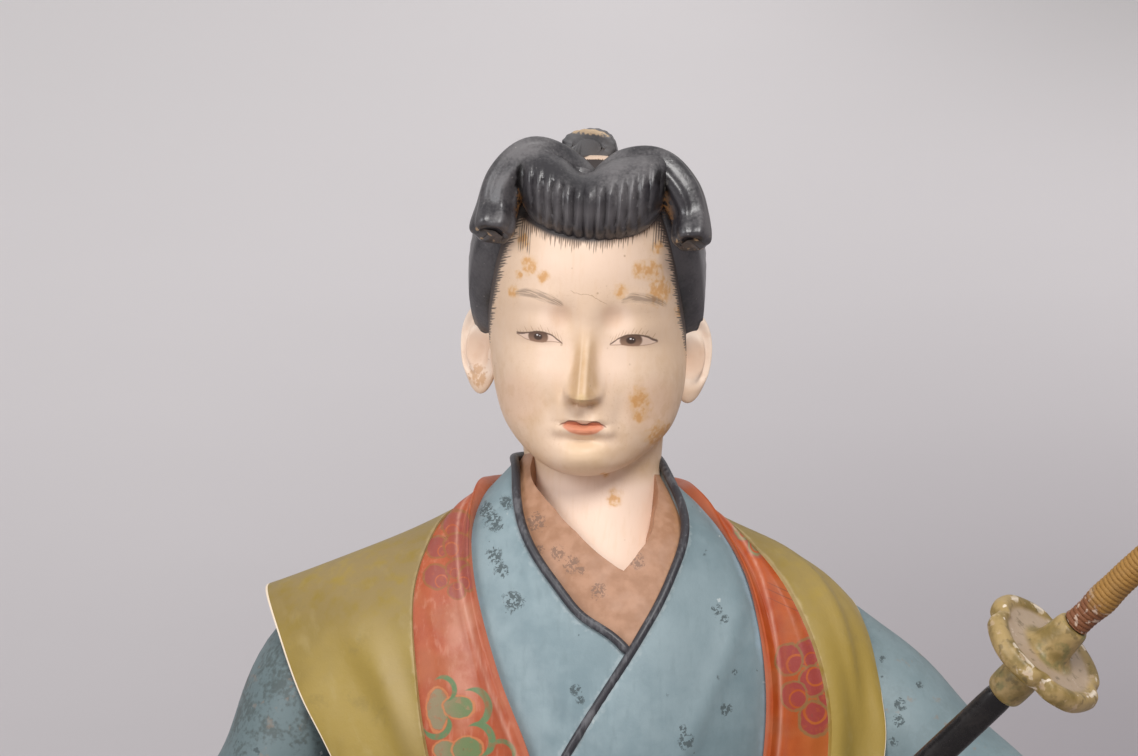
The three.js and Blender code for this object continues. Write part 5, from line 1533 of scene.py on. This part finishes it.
def band_paint():
    p = Paint("painted_bands", specular=0.3)
    x, z = p.x, p.z
    mottle = p.noise(0.3, 4.0)
    left_side = p.ramp(x, 2, -2)
    orange_red = p.mix((0.33, 0.046, 0.004), (0.40, 0.072, 0.009), p.ramp(mottle, 0.32, 0.68))
    pinker = p.mix((0.35, 0.07, 0.025), (0.41, 0.10, 0.042), p.ramp(mottle, 0.32, 0.68))
    p.color = p.mix(orange_red, pinker, left_side)
    brushed = p.brushed(x * 1.2, p.y, z * 0.2, 3.0)
    p.lay((0.56, 0.25, 0.165), p.ramp(brushed, 0.52, 0.7) * left_side * 0.35)
    # painted sheen: a pale upright patch in the middle of the band at negative x
    tone_patch = p.near(x, z * 0.42, [(-20.2, 51.5, 2.6), (-20.0, 48.5, 2.2)], 1.5, 0.0, 1.4)
    p.lay((0.56, 0.29, 0.21), tone_patch * p.ramp(mottle, 0.3, 0.6, 0.2, 0.55))
    tanned = p.patches(0.5, 0.66, 0.14, 3.0)
    p.lay((0.36, 0.13, 0.05), tanned * 0.35)
    p.lay((0.36, 0.11, 0.02), p.ramp(x, 28, 37) * p.ramp(z, 124, 108) * 0.6)
    base = p.color
    front = p.ramp(p.y, 2, -1)
    red, olive, green = (0.26, 0.036, 0.032), (0.20, 0.115, 0.04), (0.095, 0.20, 0.09)
    cloud(p, x, z, RIGHT_CLOUD, red, olive)
    mauve = p.mix(p.color, (0.25, 0.065, 0.06), 0.8)
    cloud(p, x, z, LEFT_CLOUD, mauve, p.mix(p.color, olive, 0.75))
    sage = p.mix((0.12, 0.20, 0.085), (0.24, 0.21, 0.12), p.ramp(x + (mottle - 0.5) * 5, -19, -24))
    cloud(p, x, z, LEAVES, sage, (0.50, 0.19, 0.075))
    crescents(p, x, z, LEAF_STROKES, green)
    cloud(p, x, z, SHOULDER_CLOUD, (0.15, 0.19, 0.09), (0.27, 0.08, 0.05))
    slant = z + (x - 28) * 0.45
    rays = p.maximum(p.band(slant, 131.3, 0.06, 0.07), p.band(slant, 130.3, 0.06, 0.07))
    rays = p.maximum(rays, p.band(slant, 129.0, 0.05, 0.07)) * p.ramp(x, 27.6, 28.4) * p.ramp(x, 34.0, 32.4)
    p.lay((0.11, 0.04, 0.025), rays * 0.75)
    faded = p.patches(0.52, 0.68, 0.8, 3.0)
    p.color = p.mix(base, p.color, front * p.ramp(faded, 0, 1, 0.92, 0.62))
    p.lay((0.14, 0.06, 0.035), scattered(p, 0.35, 0.1, 0.14) * 0.6)
    rim = p.attribute("band_gap")
    # painted shadow in the groove behind the rolled inner rim, about 3 mm from the edge line, and a painted
    # highlight along the rim's crest, about 1.9 mm from it
    p.lay((0.30, 0.062, 0.02), p.band(rim, 3.0, 0.3, 0.7) * 0.5)
    p.lay((0.66, 0.36, 0.27), p.band(rim, 1.9, 0.1, 0.45) * p.ramp(brushed, 0.3, 0.6, 0.35, 0.75))
    p.lay((0.50, 0.17, 0.10), p.ramp(rim, 1.2, 0.7) * 0.6)
    roughness = 0.34 + mottle * 0.2
    height = p.waver(0.04, 0.8, 4.0) + p.waver(0.01, 3.5, 2.0)
    return p.finish(roughness, height)


def olive_color(p):
    cloud_of = p.noise(0.05, 3.0)
    mottle = p.noise(0.4, 4.0)
    lighter = p.ramp(cloud_of + (mottle - 0.5) * 0.12, 0.36, 0.66)
    p.color = p.mix((0.235, 0.16, 0.022), (0.32, 0.225, 0.045), lighter)
    right_side = p.ramp(p.x, 30, 40)
    p.lay((0.39, 0.27, 0.06), right_side * 0.6)
    # pale diagonal streaks: partly worn paint, partly a painted sheen
    worn = p.brushed(p.x * 0.35 + p.z * 0.14, p.y * 0.3, p.z * 0.12 - p.x * 0.1, 3.0)
    p.lay((0.39, 0.30, 0.12), p.ramp(worn, 0.54, 0.78) * 0.34)
    grime = p.ramp(p.noise(0.2, 4.0) + p.waver(0.4, 1.8, 3.0), 0.58, 0.8)
    p.lay((0.13, 0.105, 0.04), grime * 0.22)
    p.lay((0.1, 0.075, 0.03), scattered(p, 0.12, 0.035, 0.5) * 0.8)
    return mottle


def olive_paint():
    p = Paint("painted_olive", specular=0.42)
    mottle = olive_color(p)
    seam = p.attribute("seam_gap")
    p.lay((0.50, 0.38, 0.2), p.ramp(seam + (mottle - 0.5) * 1.2, 0.7, 0.25) * 0.5)
    roughness = 0.38 + mottle * 0.24
    shoulder = p.ramp(p.z, 118, 134) * p.ramp(mottle, 0.25, 0.6)
    p.lay((0.24, 0.175, 0.085), shoulder * p.ramp(p.x, 0, -20, 0.35, 0.7))
    # painted highlight along the crest of a fold on the vest at negative x, with a light worn area on it
    ridge = p.ramp(abs(p.x + 33.4 - (126 - p.z) * 0.29), 3.4, 0.4) * p.band(p.z, 114, 9, 6)
    p.lay((0.44, 0.33, 0.15), ridge * p.ramp(p.x, -10, -14) * 0.5)
    height = p.waver(0.05, 0.7, 4.0) + p.waver(0.014, 3.0, 2.0)
    return p.finish(roughness, height)


def edge_paint():
    p = Paint("painted_edge", specular=0.4)
    mottle = p.noise(0.8, 4.0)
    p.color = p.mix((0.72, 0.58, 0.42), (0.80, 0.70, 0.56), mottle)
    p.lay((0.42, 0.30, 0.14), p.patches(0.58, 0.7, 0.6, 4.0) * 0.5)
    return p.finish(0.5 + mottle * 0.1, (mottle - 0.5) * 0.04)


def trouser_paint():
    p = Paint("painted_trousers", specular=0.42)
    mottle = olive_color(p)
    p.lay((0.2, 0.14, 0.035), 0.25)
    p.lay((0.52, 0.42, 0.22), p.patches(0.66, 0.74, 0.5, 4.0) * 0.25)
    height = p.waver(0.05, 0.7, 4.0)
    return p.finish(0.42 + mottle * 0.22, height)


def sash_paint():
    p = Paint("painted_sash", specular=0.45)
    mottle = p.noise(0.5, 4.0)
    p.color = p.mix((0.48, 0.10, 0.045), (0.6, 0.2, 0.11), p.ramp(mottle, 0.35, 0.7))
    return p.finish(0.42 + mottle * 0.2, (mottle - 0.5) * 0.06)


def clay_paint():
    p = Paint("bare_clay", specular=0.3)
    grain = p.noise(1.2, 5.0)
    p.color = p.mix((0.42, 0.25, 0.15), (0.56, 0.36, 0.24), grain)
    return p.finish(0.85, (grain - 0.5) * 0.12)


def gilt_paint():
    """Gilt over a white ground: "reach" is the share of the guard's radius, and the gilt is worn through
    most on the rim.
    """
    p = Paint("guard_gilt", offset=(0, 0, 0), specular=0.5)
    grain = p.noise(1.1, 4.0)
    soft = p.noise(0.3, 3.0)
    reach = p.attribute("reach")
    on_rim = p.ramp(reach, 0.7, 0.8)
    on_hub = p.ramp(reach, 0.5, 0.36)
    gold = p.mix((0.20, 0.137, 0.035), (0.36, 0.25, 0.098), p.ramp(soft + (grain - 0.5) * 0.3, 0.35, 0.65))
    plate = p.mix((0.36, 0.26, 0.165), (0.44, 0.335, 0.245), grain)
    p.color = p.mix(plate, gold, p.maximum(on_rim, on_hub))
    p.lay((0.15, 0.145, 0.05), p.patches(0.5, 0.66, 0.45, 3.0) * on_hub * 0.7)
    p.lay((0.09, 0.065, 0.02), p.patches(0.56, 0.68, 0.7, 4.0) * 0.55)
    ridge = p.band(reach, 0.87, 0.03, 0.06)
    # where the gilt is rubbed through to the white ground
    tone_patch = p.ramp(p.noise(0.34, 3.0) + (grain - 0.5) * 0.34 + ridge * 0.16, 0.635, 0.675)
    p.lay((0.80, 0.70, 0.58), tone_patch * p.maximum(ridge, 0.35 - on_hub * 0.3))
    pinkish = p.patches(0.6, 0.66, 0.55, 3.0) * on_rim
    p.lay((0.52, 0.38, 0.28), pinkish * 0.4)
    roughness = 0.34 + grain * 0.22 + tone_patch * 0.1
    return p.finish(roughness, (grain - 0.5) * 0.08 - tone_patch * 0.04)


def thread_paint():
    """Silk thread, worn and brown near the guard."""
    p = Paint("hilt_thread", offset=(0, 0, 0), specular=0.4)
    fibre = p.noise(5.0, 3.0)
    p.color = p.mix((0.20, 0.095, 0.02), (0.42, 0.225, 0.05), fibre)
    soiled = p.patches(0.45, 0.65, 0.35, 3.0)
    p.lay((0.24, 0.13, 0.04), soiled * 0.5)
    from_guard = p.attribute("from_guard")
    near_guard = p.ramp(from_guard + p.waver(3, 0.6), 13, 10.5)
    p.lay((0.17, 0.055, 0.025), near_guard * 0.85)
    pale = p.patches(0.56, 0.64, 0.9, 2.0) * p.ramp(from_guard, 14, 11)
    p.lay((0.52, 0.40, 0.31), pale * 0.75)
    return p.finish(0.6, (fibre - 0.5) * 0.12)


def scabbard_paint():
    p = Paint("scabbard_lacquer", offset=(0, 0, 0), specular=0.32)
    grain = p.noise(1.4, 4.0)
    dust = p.ramp(p.noise(0.2, 4.0) + (grain - 0.5) * 0.4, 0.45, 0.75)
    p.color = p.mix((0.006, 0.005, 0.005), (0.045, 0.038, 0.034), dust * 0.3)
    rub = p.ramp(p.attribute("edge_gap") + p.waver(1.6, 1.0, 3.0), 0.3, -0.1)
    p.lay((0.34, 0.24, 0.16), rub * 0.75)
    return p.finish(p.ramp(dust, 0, 1, 0.26, 0.55), (grain - 0.5) * 0.05)


def base_paint():
    p = Paint("base_lacquer", offset=(0, 0, 0), specular=0.5, coat=0.3)
    grain = p.noise(0.5, 4.0)
    dust = p.ramp(p.noise(0.05, 5.0) + (grain - 0.5) * 0.3, 0.42, 0.75)
    dust = dust * p.ramp(p.facing_up(), 0.0, 0.9, 0.3, 1.0)
    p.color = p.mix((0.012, 0.009, 0.009), (0.10, 0.09, 0.08), dust * 0.45)
    fleck = scattered(p, 0.22, 0.07, 0.3)
    p.lay((0.22, 0.19, 0.16), fleck * 0.5)
    upper_edge = p.ramp(p.z, BASE_HEIGHT - 2.2, BASE_HEIGHT - 0.6) * p.ramp(p.facing_up(), 0.97, 0.8)
    rub = upper_edge * p.patches(0.5, 0.62, 0.35, 4.0)
    p.lay((0.19, 0.075, 0.04), rub * 0.8)
    return p.finish(p.ramp(dust, 0, 1, 0.16, 0.5), p.waver(0.12, 0.25, 3.0))


# The figure.


def figure_forms():
    forms = head_forms()
    forms.append(stack(NECK, 60, 34))
    forms.append(robe(ROBE, inner_neckline, lambda a, z: -0.9 + 0 * a, 130, 40, INNER))
    forms.append(robe(ROBE, outer_neckline, outer_lift, 190, 84, BLUE))
    forms += [left_piping(), right_piping(), *vest_panels(), *lapels(), *arms(), *sleeve_bags()]
    forms += [seat(), thigh(-1), thigh(1), *waist_band(), *left_hand(), *right_hand()]
    return forms


def gap_attribute(mesh, name, lines, furthest=6.0):
    """Stores each point's distance in millimetres from the nearest of some lines."""
    samples = np.linspace(0, 1, 400)
    rows = np.vstack([along(line, samples) for line in lines])
    tree = KDTree(len(rows))
    for i, row in enumerate(rows + FIGURE_FOOT):
        tree.insert(row * MM, i)
    tree.balance()
    store(mesh, name, [min(tree.find(v.co)[2] * MM_PER_METRE, furthest) for v in mesh.vertices])


def build_figure():
    paints = [skin_paint(), ear_paint(), hair_paint(), inner_paint(), blue_paint(), piping_paint()]
    paints += [band_paint(), olive_paint(), edge_paint(), trouser_paint(), sash_paint(), clay_paint()]
    body = joined("doll_figure", figure_forms(), [floor_cutter(), grip_cutter()], paints)
    smooth(body, SMOOTH_BELOW)
    piping_lift, rim_lift = 0.5, 1.4
    piping_lines = [on_robe(OUTER_NECKLINE, piping_lift), on_robe(OVERLAP, piping_lift)]
    rim_lines = [on_robe(RIGHT_LAPEL, rim_lift), on_robe(LEFT_LAPEL, rim_lift)]
    gap_attribute(body.data, "piping_gap", piping_lines)
    gap_attribute(body.data, "band_gap", rim_lines)
    gap_attribute(body.data, "seam_gap", [RIGHT_SEAM, LEFT_SEAM])
    stands_for(body, "figure")


# The sword.

GUARD_AT = FIGURE_FOOT + SWORD_FOOT + HILT_WAY * (SCABBARD_LENGTH + BELOW_END)
SWORD_TURN = Vector((0, 0, 1)).rotation_difference(Vector(HILT_WAY)).to_matrix()


def sword_piece(node, slot, form, paint):
    """A form drawn up the sword's own line from the guard, set in its place."""
    points, faces, _ = turned(form, np.array(SWORD_TURN), GUARD_AT)
    return plain_piece("sword_" + node, node, slot, points, faces, paint, SWORD_SMOOTH_BELOW)


def scabbard_form():
    half_wide, half_thin = SCABBARD_WIDTH / 2, SCABBARD_THICKNESS / 2

    def place(a, t):
        top = -BELOW_END - REST_GAP
        foot = -BELOW_END - SCABBARD_LENGTH
        share = np.clip((t - 0.03) / 0.94, 0, 1)
        ends = 1 - 0.12 * bump(share / 0.012) - 0.05 * bump((1 - share) / 0.004)
        ends = np.where((t <= 0) | (t >= 1), 0.0, ends)
        square = (np.abs(np.sin(a)) ** 2.6 + np.abs(np.cos(a)) ** 2.6) ** (-1 / 2.6)
        z = foot + (top - foot) * share
        x = half_wide * np.sin(a) * square * ends
        y = -half_thin * np.cos(a) * square * ends
        return np.stack([x, y, z + 0 * a], -1)

    return globe(48, 150, place, 0)


def guard_form():
    """The four-lobed plate with its thick rolled rim and the worn hubs, from the scabbard's side up."""
    half, rim, hub = GUARD_THICKNESS / 2, GUARD_THICKNESS / 2 + GUARD_RIM, HUB_RADIUS
    profile = [
        [0, -BELOW_END], [hub * 0.7, -BELOW_END], [hub * 0.93, -BELOW_END + 0.5],
        [hub, -BELOW_END + 1.6], [hub, -BELOW_END + 4], [hub * 0.92, -half - 1.6],
        [hub * 1.2, -half - 0.4], [hub * 1.6, -half], [GUARD_RADIUS * 0.72, -half],
        [GUARD_RADIUS * 0.8, -rim * 0.86], [GUARD_RADIUS * 0.88, -rim],
        [GUARD_RADIUS * 0.96, -rim * 0.78], [GUARD_RADIUS, -rim * 0.2], [GUARD_RADIUS, rim * 0.2],
        [GUARD_RADIUS * 0.96, rim * 0.78], [GUARD_RADIUS * 0.88, rim], [GUARD_RADIUS * 0.8, rim * 0.86],
        [GUARD_RADIUS * 0.72, half], [hub * 1.6, half], [hub * 1.2, half + 0.5], [hub, half + 1.8],
        [hub * 0.93, half + 3.6], [hub * 0.84, ABOVE_END - 0.4], [hub * 0.6, ABOVE_END], [0, ABOVE_END],
    ]

    def place(a, t):
        row = along(profile, t)
        radius, z = np.maximum(row[..., 0], 0), row[..., 1]
        out = step(radius, GUARD_RADIUS * 0.5, GUARD_RADIUS * 0.9)
        notch = 0.1 * bump(np.sin(2 * a) / 0.26) * out
        worn = 0.008 * np.sin(5 * a + 0.5 * z) + 0.005 * np.sin(9 * a + 2) * out
        radius = radius * (1 - notch + worn * step(radius, 0.5, 2))
        bent = 0.16 * np.sin(3 * a + 0.7) * out
        z = np.clip(z + bent, -BELOW_END, ABOVE_END)
        return np.stack([radius * np.sin(a), -radius * np.cos(a), z], -1)

    return globe(160, 96, place, 0)


def thread_form():
    """The wound hilt: one thread's rounds stand up as a helix."""
    def place(a, t):
        share = np.clip((t - 0.01) / 0.98, 0, 1)
        z = ABOVE_END + REST_GAP + HILT_LENGTH * share
        turn = (z / THREAD_PITCH - a / TAU) % 1
        round_up = np.sqrt(np.maximum(1 - (2 * turn - 1) ** 2, 0))
        worn = 0.1 * np.sin(z * 0.55 + 2 * np.sin(a)) + 0.3 * bump((z - ABOVE_END - 6) / 2)
        worn = worn - 0.25 * bump((z - 9) / 2)
        radius = HILT_RADIUS - 0.28 + 0.26 * round_up + worn * 0.6
        radius = radius * np.where((t <= 0) | (t >= 1), 0.0, 1.0)
        return np.stack([radius * np.sin(a), -radius * np.cos(a), z + 0 * a], -1)

    rows = int(HILT_LENGTH / THREAD_PITCH * 8)
    return globe(48, rows, place, 0)


def base_form():
    """A rounded rectangle with rolled edges, from the middle of its underside to the middle of its top."""
    corner, bevel = BASE_CORNER, BASE_BEVEL
    straight_x, straight_y = BASE_WIDTH / 2 - corner, BASE_DEPTH / 2 - corner
    turn = np.linspace(0, TAU, 192, endpoint=False)
    way = np.stack([np.cos(turn), np.sin(turn)], -1)
    middle = np.clip(way * 3, -1, 1) * [straight_x, straight_y]
    rolled = [(bevel * (1 - math.sin(b)), bevel * (1 - math.cos(b))) for b in np.linspace(0, PI / 2, 7)]
    upper = [(inset, BASE_HEIGHT - low) for inset, low in rolled[::-1]]
    rows = [(corner * 0.6, 0.0), *rolled, *upper, (corner * 0.6, BASE_HEIGHT)]
    count, faces = len(turn), []
    points = [np.column_stack([middle + way * (corner - inset), np.full(count, z)]) for inset, z in rows]
    points = np.vstack([*points, [[0, 0, 0], [0, 0, BASE_HEIGHT]]])
    for k in range(count):
        n = (k + 1) % count
        faces += [ring_face(j, k, count) for j in range(len(rows) - 1)]
        faces.append((len(points) - 2, n, k))
        faces.append((len(points) - 1, (len(rows) - 1) * count + k, (len(rows) - 1) * count + n))
    return points, faces


def build_base():
    plain_piece("doll_base", "base", "lacquered_base", *base_form(), base_paint(), SMOOTH_BELOW)


def about_guard(piece):
    """The piece's points about the guard's middle, in millimetres."""
    return np.array([v.co for v in piece.data.vertices]) * MM_PER_METRE - GUARD_AT


def build_sword():
    turn = np.array(SWORD_TURN)
    scabbard = sword_piece("scabbard", "scabbard_lacquer", scabbard_form(), scabbard_paint())
    x, y, z = (about_guard(scabbard) @ turn).T
    corner = np.abs(np.abs(x) - SCABBARD_WIDTH / 2) + np.abs(np.abs(y) - SCABBARD_THICKNESS / 2)
    end = np.minimum(np.abs(z + BELOW_END), np.abs(z + BELOW_END + SCABBARD_LENGTH))
    store(scabbard.data, "edge_gap", np.minimum(corner, end))
    guard = sword_piece("guard", "guard_gilt", guard_form(), gilt_paint())
    x, y, _ = (about_guard(guard) @ turn).T
    store(guard.data, "reach", np.hypot(x, y) / GUARD_RADIUS)
    hilt = sword_piece("hilt", "hilt_wrap", thread_form(), thread_paint())
    store(hilt.data, "from_guard", about_guard(hilt) @ HILT_WAY)


# The stage, the lights and the camera.


def shaded_stage_paint():
    p = Paint("backdrop_paper", offset=(0, 0, 0), specular=0.2)
    grain = p.noise(0.004, 3.0)
    p.color = p.mix((0.90, 0.868, 0.87), (0.94, 0.905, 0.91), grain)
    # painted shade: the paper is darker higher up, most on the right, and darker on the floor near the
    # figure, again most on the right
    p.lay((0.825, 0.797, 0.797), p.ramp(p.z, 60, 420) * p.ramp(p.x, 300, -500))
    p.lay((0.56, 0.54, 0.536), p.ramp(p.z, 120, 460) * p.ramp(p.x, 0, 500))
    near = p.ramp(p.y, 3700, 700)
    p.lay((0.38, 0.35, 0.37), near * p.ramp(p.x, -260, 300, 0.56, 1.0))
    return p.finish(0.9)


def build_stage():
    """A round paper sweep: a level floor whose rim curves up all round."""
    floor, wide, high, count = 1.0, 4.2, 2.6, 96
    rising = [math.radians(a) for a in range(5, 91, 5)]
    profile = [(0.001, 0.0), (floor, 0.0)]
    profile += [(floor + wide * math.sin(a), high * (1 - math.cos(a))) for a in rising]
    turns = [TAU * k / count for k in range(count)]
    points = [(r * math.cos(turn), r * math.sin(turn), z) for r, z in profile for turn in turns]
    faces = [ring_face(j, k, count) for j in range(len(profile) - 1) for k in range(count)]
    mesh = bpy.data.meshes.new("sweep")
    mesh.from_pydata(points, [], faces)
    mesh.polygons.foreach_set("use_smooth", np.ones(len(faces), bool))
    mesh.materials.append(shaded_stage_paint())
    object_of("sweep", mesh)


def area_light(name, place, aim, size, power, color=(1, 1, 1)):
    light = bpy.data.lights.new(name, "AREA")
    light.shape = "DISK"
    light.size = size
    light.energy = power
    light.color = color
    lamp = object_of(name, light)
    lamp.location = place
    lamp.rotation_euler = (Vector(aim) - Vector(place)).to_track_quat("-Z", "Y").to_euler()


def build_lights():
    world = bpy.data.worlds.new("studio")
    bpy.context.scene.world = world
    world.use_nodes = True
    background = world.node_tree.nodes["Background"]
    background.inputs[0].default_value = (0.95, 0.94, 0.95, 1)
    background.inputs[1].default_value = 0.68
    area_light("key", (0.36, -1.35, 1.3), (0, 0, 0.16), 0.8, 21, (1.0, 0.985, 0.965))
    area_light("fill", (-1.2, -1.2, 0.8), (0, 0, 0.16), 1.0, 11.8, (0.97, 0.98, 1.0))
    area_light("backdrop_light", (1.3, 1.4, 1.6), (0.9, 5.0, 0.0), 0.8, 13, (1.0, 1.0, 1.0))


def build_camera():
    aim = Vector((-0.0034, 0.006, 0.1815))
    distance = 0.8
    height = math.radians(2)
    data = bpy.data.cameras.new("camera")
    data.lens = 158
    data.sensor_width = 36
    camera = object_of("camera", data)
    camera.location = aim + Vector((0, -math.cos(height), math.sin(height))) * distance
    camera.rotation_euler = (aim - camera.location).to_track_quat("-Z", "Y").to_euler()
    bpy.context.scene.camera = camera


bpy.context.scene.view_settings.view_transform = "Standard"
build_figure()
build_sword()
build_base()
build_stage()
build_lights()
build_camera()
